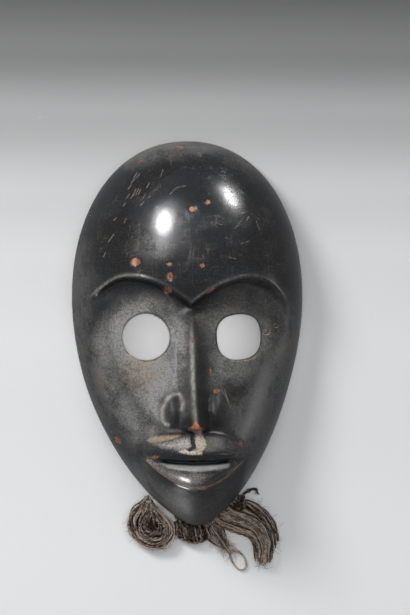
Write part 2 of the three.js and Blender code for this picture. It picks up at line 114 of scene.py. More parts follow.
carvingFade = 0.35 * wood["depth"]   # carving fades out below this height above the rim


def smooth(value, low, high):
    t = np.clip((value - low) / (high - low), 0, 1)
    return t * t * (3 - 2 * t)


def mix(a, b, t):
    return a + (b - a) * t


def rimHalfWidth(v):
    up = np.clip((v - widest) / (1 - widest), 0, 1)
    down = np.clip((widest - v) / widest, 0, 1)
    upper = (1 - up ** crownPower) ** (1 / crownPower)
    lower = (1 - down ** jawPower) ** jawEase
    return halfWidth * np.where(v > widest, upper, lower)


def blankDepth(x, v):
    swell = wood["swell"] * smooth(v, 0.5, 0.7)
    up = np.clip((v - 0.64) / 0.36, 0, 1)
    down = np.clip((0.2 - v) / 0.2, 0, 1)
    fall = (1 - up ** 2.3) ** (1 / 2.3) * (1 - down ** 2.4) ** (1 / 2.4)
    across = mix(2.3, mix(2.7, 2.2, smooth(v, 0.56, 0.75)), smooth(v, 0.15, 0.42))
    s = np.clip(np.abs(x) / np.maximum(rimHalfWidth(v), 1e-6), 0, 1)
    return (wood["depth"] + swell) * fall * (1 - s ** across) ** (1 / 1.8)


def browHeight(x):
    s = np.abs(x) / halfWidth
    inner = np.sin(np.pi / 2 * np.minimum(s / brow["peakAt"], 1) ** 0.9)
    beyond = np.clip((s - brow["peakAt"]) / (brow["endAt"] - brow["peakAt"]), 0, 1.1)
    return brow["cusp"] + brow["rise"] * np.where(s < brow["peakAt"], inner, np.cos(np.pi / 2 * beyond))


def socketCut(x, v):
    below = browHeight(x) - v
    side = 1 - smooth(np.abs(x) / halfWidth, 0.62, brow["endAt"])
    crease = mix(0.018, 0.045, smooth(x / halfWidth, 0.35, 0.8))
    return wood["socketDepth"] * side * smooth(below, 0, crease) * (1 - smooth(below, 0.03, 0.26))


def browFade(x):
    # the line runs out further on the left
    s = x / halfWidth
    return np.where(s < 0, 1 - smooth(-s, 0.78, 0.9), 1 - smooth(s, 0.3, 0.72))


def browLine(x, v):
    return wood["browRise"] * browFade(x) * np.exp(-((v - browHeight(x)) / 0.004) ** 2)


def muzzleSwell(x, v):
    offX = x / (mouth["muzzleHalf"] * halfWidth)
    offV = (v - mouth["height"]) / mouth["muzzleHeight"]
    return wood["muzzleRise"] * np.exp(-offX ** 2 - offV ** 2)


def lipShare(x):
    return np.clip(np.abs(x) / (mouth["half"] * halfWidth), 0, 1)


def mouthLine(name, s):
    middle, corner, power = lipLines[name]
    return mix(middle, corner, s ** power)


def lipsRise(x, v):
    s = lipShare(x)
    top, edge, line, shelf, bottom = (mouthLine(name, s) for name in lipLines)
    lower = np.clip((v - bottom) / np.maximum(shelf - bottom, 1e-4), 0, 1)
    lowerLip = (0.12 + 0.88 * (1 - (1 - lower) ** 2.2)) * smooth(v, bottom - 0.003, bottom + 0.001)
    shelfDrop = mix(1, mouth["valley"], np.clip((v - shelf) / (line - shelf), 0, 1) ** 1.4)
    underLip = mix(mouth["valley"], 0.95, smooth(v, line + 0.002, edge))
    ledge = mix(0.95, 0.45, smooth(v, edge, top - 0.012)) * (1 - smooth(v, top - 0.012, top + 0.002))
    rise = np.where(v < edge, underLip, ledge)
    rise = np.where(v < shelf, lowerLip, np.where(v < line + 0.002, shelfDrop, rise))
    bead = 0.08 * np.exp(-((v - bottom) / 0.004) ** 2)
    groove = 0.3 * np.exp(-((v - line - 0.001) / 0.0045) ** 2) * (1 - s ** 4)
    return wood["lipRise"] * (rise * (1 - s ** 2.4) ** 0.7 + bead * (s < 0.99) - groove)


def noseShare(v):
    return np.clip((nose["bridge"] - v) / (nose["bridge"] - nose["base"]), 0, 1)


def noseOff(x, v):
    return x - nose["shift"] - wood["noseLean"] * noseShare(v)


def wingField(x, v):
    # 1 in the middle of a wing, 0 on its edge
    offX = (np.abs(noseOff(x, v)) / halfWidth - wings["apart"]) / wings["halfWidth"]
    offV = (v - wings["height"]) / wings["halfHeight"]
    return 1 - offX ** 2 - offV ** 2


def faceDepth(x, v):
    blank = blankDepth(x, v)
    carved = muzzleSwell(x, v) + lipsRise(x, v) + browLine(x, v) - socketCut(x, v)
    return blank + carved * smooth(blank, 0, carvingFade)


def noseRise(x, v):
    # a roof and two low bulbs, run softly into each other and the cheek, and cut away underneath
    t = noseShare(v)
    ridge = mix(*nose["ridge"], t)
    away = noseOff(x, v)
    off = np.sqrt(away ** 2 + ridge ** 2) - ridge
    half = halfWidth * np.where(away < 0, mix(*nose["leftHalf"], t), mix(*nose["rightHalf"], t))
    start = smooth((nose["bridge"] - v) / (nose["bridge"] - nose["base"]), -0.05, 0.08)
    roof = mix(wood["noseRiseBridge"], wood["noseRiseTip"], t ** 0.9) * (1 - (off / half) ** 1.15)
    wing = wood["wingRise"] * np.maximum(wingField(x, v), -3)
    soft = mix(*nose["soft"], smooth(t, 0.5, 0.8))
    rise = soft * np.log(1 + np.exp(roof / soft) + np.exp(wing / soft)) * start
    base = nose["base"] + nose["baseArch"] * (away / (0.25 * halfWidth)) ** 2
    return rise * smooth(v, base - nose["under"], base + 0.001) ** 0.6


def distanceTo(x, y, points):
    # distance from each place to a line through points, all in millimetres
    best = np.full(x.shape, 1e9)
    for (ax, ay), (bx, by) in zip(points[:-1], points[1:]):
        dx, dy = bx - ax, by - ay
        t = np.clip(((x - ax) * dx + (y - ay) * dy) / (dx * dx + dy * dy), 0, 1)
        best = np.minimum(best, np.hypot(x - ax - t * dx, y - ay - t * dy))
    return best


def patch(x, y, outline, soft):
    # 1 well inside an outline, 0 on it and -1 well outside
    px, py = np.array(outline).T
    inside = np.zeros(x.shape, bool)
    for ax, ay, bx, by in zip(px, py, np.roll(px, -1), np.roll(py, -1)):
        if ay != by:
            inside ^= ((ay > y) != (by > y)) & (x < (bx - ax) * (y - ay) / (by - ay) + ax)
    away = distanceTo(x, y, list(outline) + [outline[0]])
    return np.clip(np.where(inside, away, -away) / soft, -1, 1)


# The incised line that curls over the left wing, and the fine cuts and scratches, in millimetres on the face
curl = [
    (-15.2, 66.9), (-17.6, 68.5), (-18.3, 72.5), (-18.2, 76.5), (-15.6, 81.6), (-11.5, 85.1), (-7.5, 85.4),
    (-5.6, 81.8), (-5.8, 77.9), (-7.0, 76.1),
]
curlRight = [(10.4, 70), (9.6, 77), (10.6, 84), (14, 86)]
scratches = [
    [(-35, 205), (-33, 210)], [(-33.4, 205.5), (-31.4, 210)], [(-31.8, 206), (-30.2, 209.4)],
    [(-34.4, 216), (-32, 220)], [(-32.6, 216.4), (-30.6, 219)],
    [(-40.6, 188), (-39.6, 191.6), (-37.4, 191)], [(-50, 177), (-46.6, 182)],
    [(-45, 183.2), (-44.8, 183.6)], [(-11.4, 223), (-12, 232)], [(-18.6, 216), (-16.6, 221.4)],
    [(-13, 206), (-9, 210), (-3, 211.4)], [(26, 185), (31, 191)], [(5.8, 222.4), (6, 223)],
    [(5, 218.6), (5.2, 219)], [(-24.9, 220.6), (-24.6, 221)], [(-30.8, 202), (-30.5, 202.3)],
    [(-50.6, 97.6), (-48.4, 98.6)], [(-53.2, 94), (-52.4, 94.8)],
    [(18.7, 86.3), (20.7, 83.3), (23.0, 77.2)], [(14.2, 84), (17, 80.6)], [(20, 88), (22.4, 80)],
    [(-36, 213), (-33.5, 216)], [(-38, 209), (-36, 212)], [(-29.5, 203), (-27.5, 206.5)],
    [(-31, 199), (-28, 202)], [(-39.5, 203), (-37, 206.5)], [(-27, 210), (-25, 213)],
    [(-41, 199), (-39.4, 201)], [(-26, 203.5), (-24.6, 205.5)], [(-36.5, 203.5), (-34.6, 206)],
    [(-53, 168), (-51.5, 171)], [(-47, 190), (-45, 192)], [(-6, 231), (-7, 234)], [(30, 176), (36, 178)],
    [(22, 168), (27, 167)], [(40, 190), (42, 184)],
    [(6.7, 56.4), (9.6, 55.4), (13.5, 53.9), (20.5, 51.0), (27.0, 48.8)],
]
scratchReach = 3.0


def curlCut(x, y):
    left, right = distanceTo(x, y, curl), distanceTo(x, y, curlRight)
    return 0.8 * np.exp(-(left / 0.7) ** 2) + 0.4 * np.exp(-(right / 0.8) ** 2)


# Chips: [x share of half width, height share, radius across, radius up, depth, turn in degrees, how bare]
chips = [
    [-0.470, 0.6885, 3.5, 3.0, 0.5, 0, 1], [-0.186, 0.652, 2.7, 3.2, 0.9, 10, 1],
    [-0.201, 0.617, 3.6, 2.7, 1.2, -25, 1], [0.007, 0.821, 2.9, 2.3, 0.4, 0, 0.75],
    [0.137, 0.838, 2.7, 2.2, 0.4, 0, 0.65], [0.088, 0.679, 2.7, 2.5, 0.3, 0, 0.5],
    [0.092, 0.7025, 0.9, 1.3, 0.2, 0, 0.6], [0.159, 0.615, 4.4, 1.3, 0.5, 38, 0.85],
    [0.009, 0.489, 1.3, 2.6, 0.4, -8, 0.8], [0.210, 0.362, 2.6, 2.4, 0.5, 0, 0.85],
    [0.163, 0.410, 1.0, 4.4, 0.2, 4, 0.6], [-0.630, 0.229, 2.2, 4.0, 0.3, 30, 0.7],
    [0.398, 0.228, 2.0, 3.0, 0.2, 0, 0.65], [-0.335, 0.196, 3.6, 1.6, 0.2, 12, 0.85],
    [-0.187, 0.683, 3.4, 1.6, 0.3, 0, 0.5], [-0.077, 0.983, 4.2, 1.3, 0.2, 0, 0.75],
    [-0.411, 0.945, 3.0, 1.0, 0.2, 25, 0.6],
]
# Plugged holes: [x share, height share, radius]
plugs = [[-0.111, 0.504, 2.0], [0.648, 0.51, 2.1], [0.734, 0.524, 1.3], [0.085, 0.961, 1.2]]


def chipField(x, y, chip):
    # 1 in the middle of a chip, 0 on its edge, and below that outside it
    atX, atV, across, up, _, turn, _ = chip
    dx, dy = x - atX * halfWidth, y - atV * faceLength
    c, s = math.cos(math.radians(turn)), math.sin(math.radians(turn))
    along, away = dx * c + dy * s, dy * c - dx * s
    ragged = 0.25 * np.sin(3.1 * along + 1.7 * away) + 0.2 * np.sin(5.3 * away - 2.2 * along)
    return 1 - np.hypot(along / across, away / up) + 0.5 * ragged


def chipCut(x, y):
    cut = np.zeros(x.shape)
    for chip in chips:
        cut = np.maximum(cut, chip[4] * smooth(chipField(x, y, chip), 0, 0.5))
    for atX, atV, radius in plugs:
        away = np.hypot(x - atX * halfWidth, y - atV * faceLength) / radius
        cut = cut + 0.7 * np.exp(-((away - 0.8) / 0.2) ** 2) + 0.15 * (away < 0.7)
    return cut


philtrum = [(0.4, 61.4), (5.6, 61.1), (7.2, 57.3), (7.0, 54.3), (4.2, 51.4), (0.7, 51.2), (-0.6, 55.5)]


def crackShare(x, y):
    away = distanceTo(x, y, [(-1.1, 60.6), (-1.6, 56.6), (-0.8, 54.6), (-4, 52.4)])
    return np.exp(-(away / 0.75) ** 2)


def philtrumCut(x, y):
    # a flaked hollow under the nose, with a crack along it
    hollow = patch(x, y, philtrum, 1.2)
    ledge = distanceTo(x, y, scratches[-1])
    return 0.9 * smooth(hollow, 0, 1) + 1.4 * crackShare(x, y) + 0.5 * np.exp(-(ledge / 0.7) ** 2)


def toolMarks(x, y):
    # the faint unevenness of a knife-finished surface
    broad = np.sin(0.16 * x + 0.8) * np.sin(0.12 * y + 0.5) + 0.7 * np.sin(0.09 * x - 0.14 * y)
    fine = np.sin(0.61 * x + 0.23 * y) * np.sin(0.47 * y - 0.31 * x + 1.1)
    return 0.07 * broad + 0.006 * fine


def eyeField(x, y, side):
    # distance outside the edge of an eye hole, in millimetres
    dx = x - side * eyes["apart"] * halfWidth - wood["eyeShift"]
    dy = y - eyes["height"] * faceLength
    angle = np.arctan2(dy, dx)
    corners = eyes["rightCorners"] * np.cos(4 * angle + eyes["cornerTurn"]) if side > 0 else 0
    return np.hypot(dx, dy) - 0.25 * (wood["eyeWidth"] + wood["eyeHeight"]) - corners


def outerDepth(x, y):
    v = y / faceLength
    blank = blankDepth(x, v)
    shown = smooth(blank, 2, carvingFade)
    depth = faceDepth(x, v) + noseRise(x, v)
    depth = depth - shown * (curlCut(x, y) + chipCut(x, y) + philtrumCut(x, y) - toolMarks(x, y))
    for side in (-1, 1):
        away = np.clip(eyeField(x, y, side) / wood["eyeEdge"], 0, 1)
        depth = depth - 0.7 * (1 - away) ** 2
    return depth


def innerDepth(x, y):
    stretchX = halfWidth / (halfWidth - wood["wall"])
    stretchV = widest * faceLength / (widest * faceLength - wood["wall"])
    v = y / faceLength
    depth = blankDepth(x * stretchX, widest + (v - widest) * stretchV)
    depth = depth * (wood["depth"] - wood["faceWall"]) / wood["depth"]
    side = 1 - smooth(np.abs(x) / halfWidth, 0.7, 0.98)
    cut = 0.85 * wood["socketDepth"] * side * smooth(v, 0.3, 0.42) * (1 - smooth(v, 0.62, 0.76))
    carved = cut - 0.8 * muzzleSwell(x, v)
    gouges = wood["gouges"] * np.sin(0.9 * x + 0.2 * y) * np.sin(0.33 * y + 0.4 * np.sin(0.3 * x))
    inside = smooth(depth, 0, carvingFade)
    return np.maximum(depth - (carved + gouges) * inside, 0)


def lean(y):
    return wood["chinLean"] * np.maximum(1 - y / (0.4 * faceLength), 0) ** 1.5


def rimReach(angle, centre, fitX, fitV):
    # distance from the centre to the rim along each angle. fitX and fitV scale the outline about its
    # widest line.
    near, far = np.zeros(angle.shape), np.full(angle.shape, faceLength)
    for _ in range(44):
        half = (near + far) / 2
        x, y = half * np.cos(angle), centre + half * np.sin(angle)
        v = widest + (y / faceLength - widest) / fitV
        inside = (np.abs(x) / fitX < rimHalfWidth(v)) & (v > 0) & (v < 1)
        near, far = np.where(inside, half, near), np.where(inside, far, half)
    return near


def shellSheet(columns, rows, fitX, fitV):
    # a square grid bent over the outline, and closer towards its edge: x and y of each point, in
    # millimetres from the chin tip
    bm = bmesh.new()
    bmesh.ops.create_grid(bm, x_segments=columns, y_segments=rows, size=1)
    co = np.array([v.co[:] for v in bm.verts])
    u, w = co[:, 0], co[:, 1]
    u = u * (0.82 + 0.18 * u * u)
    a, b = u * np.sqrt(1 - w * w / 2), w * np.sqrt(1 - u * u / 2)
    radius, angle = np.clip(np.hypot(a, b), 0, 1), np.arctan2(b, a)
    centre = 0.5 * faceLength
    far = rimReach(angle, centre, fitX, fitV)
    spread = (1 + wood["gridEase"]) * radius - wood["gridEase"] * radius ** 8
    return bm, spread * far * np.cos(angle), centre + spread * far * np.sin(angle)


def placeSheet(bm, x, y, z, flip):
    for vert, px, py, pz in zip(bm.verts, x + lean(y) + middleX, y + chinY, z):
        vert.co = (px * mm, py * mm, pz * mm)
    if flip:
        bmesh.ops.reverse_faces(bm, faces=bm.faces)


def meshOf(bm, name):
    mesh = bpy.data.meshes.new(name)
    bm.to_mesh(mesh)
    bm.free()
    return mesh


def makeShell():
    # the outer and the inner sheet, joined by the flat rim they stand on
    shell = bmesh.new()
    innerFit = ((halfWidth - wood["wall"]) / halfWidth, 1 - wood["wall"] / (widest * faceLength))
    sheets = [
        (wood["columns"], wood["rows"], (1, 1), outerDepth, False),
        (wood["innerColumns"], wood["innerRows"], innerFit, innerDepth, True),
    ]
    for columns, rows, fit, depth, flip in sheets:
        bm, x, y = shellSheet(columns, rows, *fit)
        z = depth(x, y)
        z[np.array([v.is_boundary for v in bm.verts])] = 0
        placeSheet(bm, x, y, z, flip)
        part = meshOf(bm, "sheet")
        shell.from_mesh(part)
        bpy.data.meshes.remove(part)
    bmesh.ops.triangle_fill(shell, edges=[e for e in shell.edges if e.is_boundary], use_beauty=True)
    return meshOf(shell, "mask")


def link(name, mesh):
    piece = bpy.data.objects.new(name, mesh)
    bpy.context.scene.collection.objects.link(piece)
    return piece


def addPrism(bm, outlines):
    # a closed prism between two outlines, given in millimetres
    low, high = ([bm.verts.new([c * mm for c in place]) for place in outline] for outline in outlines)
    for i in range(len(low)):
        bm.faces.new((low[i - 1], low[i], high[i], high[i - 1]))
    bm.faces.new(low[::-1])
    bm.faces.new(high)


def eyeOutline(side, wider, count=72):
    cx = side * eyes["apart"] * halfWidth + wood["eyeShift"] + middleX
    cy = eyes["height"] * faceLength + chinY
    points = []
    for i in range(count):
        angle = 2 * math.pi * i / count
        radius = 0.25 * (wood["eyeWidth"] + wood["eyeHeight"]) + wider
        if side > 0:
            radius += eyes["rightCorners"] * math.cos(4 * angle + eyes["cornerTurn"])
        else:
            radius += eyes["leftWave"] * math.cos(3 * angle + 1)
        points.append((cx + radius * math.cos(angle), cy + radius * math.sin(angle)))
    return points


def slitOutline(count=48):
    half = mouth["slitHalf"] * halfWidth
    cy = mouth["slitHeight"] * faceLength
    cx = float(lean(cy)) + middleX
    turns = [2 * math.pi * i / count for i in range(count)]
    return [(cx + half * math.cos(a), cy + chinY + wood["slitGap"] / 2 * math.sin(a)) for a in turns]


def rimStations():
    # places and outward directions of the lashing holes, counted from the chin tip
    turn = np.linspace(-np.pi / 2, 1.5 * np.pi, 721)
    centre = 0.45 * faceLength
    far = rimReach(turn, centre, 1, 1)
    y = centre + far * np.sin(turn)
    x = far * np.cos(turn) + lean(y)
    run = np.concatenate([[0], np.cumsum(np.hypot(np.diff(x), np.diff(y)))])
    count = round(run[-1] / wood["holeSpacing"])
    stations = []
    for i in range(count):
        at = run[-1] * (i + 0.5) / count
        px, py = np.interp(at, run, x), np.interp(at, run, y)
        ax, ay = np.interp(at + 1, run, x) - px, np.interp(at + 1, run, y) - py
        size = math.hypot(ax, ay)
        stations.append(((px + middleX, py + chinY), (ay / size, -ax / size)))
    return stations


stations = rimStations()


cutReach = {"eyes": (-20, 120), "slit": (15, 120), "rimHoles": (-24, 6)}   # the ends of each prism


def makeCutter():
    # prisms through the eyes, the mouth and the rim
    bm = bmesh.new()
    for side in (-1, 1):
        outlines = []
        for level in cutReach["eyes"]:
            wider = 0.5 * wood["eyeFlare"] * (1 - level / wood["depth"])
            outlines.append([(px, py, level) for px, py in eyeOutline(side, wider)])
        addPrism(bm, outlines)
    addPrism(bm, [[(px, py, level) for px, py in slitOutline()] for level in cutReach["slit"]])
    radius = wood["holeDiameter"] / 2
    ring = [(radius * math.cos(math.pi * i / 6), radius * math.sin(math.pi * i / 6)) for i in range(12)]
    for (px, py), (ox, oy) in stations:
        addPrism(bm, [
            [(px + ox * level - oy * a, py + oy * level + ox * a, wood["holeHeight"] + b) for a, b in ring]
            for level in cutReach["rimHoles"]
        ])
    bmesh.ops.recalc_face_normals(bm, faces=bm.faces)
    return link("cutter", meshOf(bm, "cutter"))


def meshNow(piece):
    return bpy.data.meshes.new_from_object(piece.evaluated_get(bpy.context.evaluated_depsgraph_get()))


def cutOut(piece, cutter):
    cut = piece.modifiers.new("holes", "BOOLEAN")
    cut.operation, cut.solver, cut.object = "DIFFERENCE", "EXACT", cutter
    done = meshNow(piece)
    piece.modifiers.clear()
    old, piece.data = piece.data, done
    bpy.data.meshes.remove(old)
    bpy.data.objects.remove(cutter)


# Where the wood is worn, pale or scarred, in millimetres on the face. Each mark is stored on the mesh, and
# the material breaks it up.
def wornMarks(x, y):
    v = y / faceLength
    worn = np.full(x.shape, -1.0)
    for chip in chips:
        worn = np.maximum(worn, np.clip(chipField(x, y, chip), -1, 1) + 0.45 * (chip[6] - 1))
    s = lipShare(x)
    bottom = mouthLine("bottom", s) * faceLength
    lipLine = 0.75 - np.abs(y - bottom) / 1.1 - 0.5 * smooth(s, 0.9, 1.0)
    worn = np.maximum(worn, np.where(s < 0.995, lipLine, -1))
    foot = nose["base"] * faceLength
    tipHalf = np.maximum(0.5 + 0.3 * np.maximum(foot + 5.5 - y, 0) ** 1.5, 0.3)
    tip = 1 - np.maximum(np.abs(x - 0.8) / tipHalf, (y - foot) / 6)
    worn = np.maximum(worn, np.where((y > foot - 2.4) & (y < foot + 5), tip, -1))
    base = foot + 2.16 * (noseOff(x, v) / (0.25 * halfWidth)) ** 2
    baseLine = 0.42 - np.abs(y - base) / 1.1 - 0.6 * smooth(np.abs(noseOff(x, v)), 5, 17)
    worn = np.maximum(worn, baseLine)
    bottomSpot = 1 - np.hypot((x - 3.2) / 4.4, (y - lipLines["bottom"][0] * faceLength - 0.4) / 1.7)
    streak = 0.6 - np.maximum(np.abs(x - 11.2) / 0.9, np.abs(y - 98) / 4.5)
    return np.maximum.reduce([worn, bottomSpot, streak])


def paleMarks(x, y):
    # the flaked wood of the philtrum and of the upper lip's edge
    flake = [(-11, 52), (-6, 53.4), (0, 52.6), (4.4, 51.6), (4.2, 49.6), (-4, 49.4), (-9, 50.6)]
    return np.maximum(patch(x, y, philtrum, 1.6), patch(x, y, flake, 1.2)) - 1.8 * crackShare(x, y)


def tanMarks(x, y):
    # the rubbed upper edge of the upper lip, the lower edges of the eye holes and the rings of the plugs
    left = [
        (-30, 56.6), (-26.4, 59.8), (-17.6, 61), (-9, 61.8), (-6, 60.6), (-10, 59), (-17.9, 56.6),
        (-26.7, 54.8),
    ]
    right = [(18, 59.4), (27.5, 56.6), (31, 54), (29.5, 50.5), (26, 53.4), (18, 57)]
    marks = np.maximum(patch(x, y, left, 1.8), patch(x, y, right, 2.2) - 0.35)
    for side, strength in ((-1, 0.62), (1, 0.5)):
        rim = strength - np.abs(eyeField(x, y, side) - 0.7) / 1.5
        low = smooth(eyes["height"] - y / faceLength, 0.02, 0.05)
        marks = np.maximum(marks, mix(-1, rim, low))
    for atX, atV, radius in plugs:
        away = np.hypot(x - atX * halfWidth, y - atV * faceLength)
        marks = np.maximum(marks, 0.7 - np.abs(away - radius) / 0.6)
    return marks


def dustAndShelfLightMarks(x, y):
    # dull grey on the flat top of the lower lip: dust, and painted light where this shelf faces up
    s = lipShare(x)
    line = mouthLine("parting", s) * faceLength
    shelf = patch(x, y - line, [(-25, -0.4), (22, -0.6), (20, -4.2), (0, -5), (-17, -4)], 1.4)
    return np.where(s < 0.95, shelf, -1)


def rubbedAndReflectionMarks(x, y):
    # the light planes of the lips: rubbed wood on the upper lip, and a painted reflection on the left of the
    # lower lip's front
    left = [(-26, 54.6), (-22, 56.4), (-6, 60.3), (1, 60.6), (0, 51), (-10, 51.6), (-19, 52.6)]
    under = [(-3, 66), (0, 67), (5, 66.4), (6.4, 60), (0, 59.6)]
    upper = np.maximum(patch(x, y, left, 5), patch(x, y, under, 2) - 0.25) - 1.8 * crackShare(x, y)
    s = lipShare(x)
    bottom = mouthLine("bottom", s) * faceLength
    # a painted reflection, lighter to the left, on the front of the lower lip
    front = mix(0.62, 0, smooth(x, -2, 12)) - np.abs(y - 34.5 - 0.014 * (x + 6) ** 2) / 9
    front = np.where(s < 0.95, np.minimum(front, (y - bottom) / 2.5), -1)
    return np.maximum(upper, front)


# Grey-brown bloom, with painted sheen on the left flank of the nose and on the crown: [strength, softness in
# millimetres, outline]
bloomAndSheenPatches = [
    (1.1, 9, [
        (-48, 132), (-40, 140), (-26, 142), (-12, 138), (-5, 128), (-4, 112), (-6.5, 94), (-8, 88),
        (-13, 87), (-19, 80), (-19, 68), (-25, 71), (-34, 83), (-42, 95), (-48, 108), (-51, 120),
    ]),
    (0.75, 10, [
        (-60, 118), (-50, 130), (-44, 96), (-30, 72), (-20, 66), (-22, 58), (-36, 54), (-50, 74), (-58, 92),
    ]),
    (0.52, 9, [
        (7, 130), (12, 118), (11.5, 92), (20, 90), (30, 91), (40, 98), (49, 108), (53, 120), (49, 128),
        (36, 135), (20, 137),
    ]),
    (0.32, 12, [
        (66, 130), (56, 140), (50, 120), (46, 100), (30, 84), (22, 80), (24, 60), (36, 50), (48, 66),
        (58, 90), (68, 112),
    ]),
    (0.14, 8, [(8, 134), (20, 152), (40, 156), (58, 144), (56, 128), (40, 124), (16, 126)]),
    # the crown: rubbed grey-brown, and partly a painted sheen
    (0.85, 9, [(-38, 225), (-18, 231), (0, 233), (24, 232), (46, 220), (56, 236), (0, 250), (-50, 240)]),
    (0.3, 10, [(-64, 176), (-60, 150), (-60, 100), (-56, 84), (-50, 66), (-80, 66), (-80, 176)]),
    (0.45, 9, [(-32, 44), (-24, 30), (-6, 20), (-6, 4), (-20, 6), (-40, 36)]),
    (0.5, 3, [(3, 60), (10, 60.5), (24, 56), (28, 51), (14, 53), (6, 52)]),
    (0.1, 9, [(-12, 26), (30, 40), (18, 0), (-8, 0)]),
    # the next two patches, on the left flank of the nose, are painted sheen
    (1.0, 3, [(-15, 134), (-6, 130), (-2.4, 126), (-2.6, 102), (-7, 100), (-12, 120)]),
    (0.35, 3, [(-9, 106), (-1.2, 106), (-1, 74), (-7, 70), (-10, 84)]),
]


def bloomAndSheenMarks(x, y):
    amount = np.zeros(x.shape)
    for strength, soft, outline in bloomAndSheenPatches:
        amount = np.maximum(amount, strength * smooth(patch(x, y, outline, soft), -0.9, 0.9))
    for side in (-1, 1):
        amount = amount * mix(0.3, 1, smooth(eyeField(x, y, side), 0.3, 1.5))
    return amount


# Where the polish is gone: [softness, outline] of the nose, the eye sockets, the lips and the chin
dullPlaces = [
    (5, [(-21, 62), (-21, 88), (-10, 132), (8, 132), (13, 96), (25, 88), (24, 64), (0, 58)]),
    (6, [
        (-58, 140), (-30, 150), (-1, 142), (30, 152), (62, 142), (60, 116), (30, 92), (-30, 92), (-58, 110),
    ]),
    (3, [(-31, 54), (-22, 59), (0, 63), (26, 58), (31, 50), (14, 50), (0, 48.4), (-16, 50)]),
    (4, [(-32, 46), (-15, 29), (0, 24), (16, 29), (33, 46), (26, 8), (0, -8), (-26, 8)]),
]


def dullMarks(x, y):
    near = np.full(x.shape, -1.0)
    for soft, outline in dullPlaces:
        near = np.maximum(near, patch(x, y, outline, soft))
    return smooth(near, -0.6, 0.8)


def storeMark(mesh, name, values, domain="POINT"):
    layer = mesh.attributes.new(name, "FLOAT", domain)
    layer.data.foreach_set("value", values.astype(np.float32))


def scratchMarks(x, y):
    # distance to the nearest scratch, in millimetres
    near = np.full(x.shape, scratchReach)
    for points in scratches:
        near = np.minimum(near, distanceTo(x, y, points))
    return near


def edgeRubAndHighlightMarks(x, y):
    # the brow line, rubbed and partly a painted highlight, the rubbed curl over the wing, and a painted
    # highlight along the ridge of the nose
    v, share = y / faceLength, x / halfWidth
    browRub = np.exp(-((v - browHeight(x) - 0.001) / 0.005) ** 2) * browFade(x)
    browRub = 0.7 * browRub * np.where(share < 0, mix(0.25, 1, smooth(-share, 0.3, 0.5)), 0.4)
    curlRub = 1.5 * np.exp(-distanceTo(x, y, curl) ** 2)
    # a painted highlight along the ridge of the nose
    ridge = np.exp(-((noseOff(x, v) + 0.8) / 1.2) ** 2) * smooth(v, 0.275, 0.3) * (1 - smooth(v, 0.46, 0.54))
    ridge = ridge * mix(0.9, 1.4, smooth(v, 0.34, 0.4))
    return np.maximum.reduce([browRub, curlRub, ridge])


# What is stored on the mesh: [the function that draws it, its value where there is none of it]
storedMarks = {
    "worn": (wornMarks, -1), "pale": (paleMarks, -1), "tan": (tanMarks, -1), "dustAndShelfLight": (dustAndShelfLightMarks, -1),
    "bloomAndSheen": (bloomAndSheenMarks, 0), "lip": (rubbedAndReflectionMarks, -1), "dull": (dullMarks, 0),
    "scratch": (scratchMarks, scratchReach), "rubbedEdgeAndHighlight": (edgeRubAndHighlightMarks, 0),
}


def storeMarks(mesh):
    co = np.zeros(len(mesh.vertices) * 3)
    mesh.vertices.foreach_get("co", co)
    co = co.reshape(-1, 3) / mm
    y = co[:, 1] - chinY
    x = co[:, 0] - middleX - lean(y)
    outside = co[:, 2] > innerDepth(x, y) + 2.5
    for name, (draw, none) in storedMarks.items():
        storeMark(mesh, name, np.where(outside, draw(x, y), none))
    storeMark(mesh, "inside", np.where(outside, 0.0, 1.0))


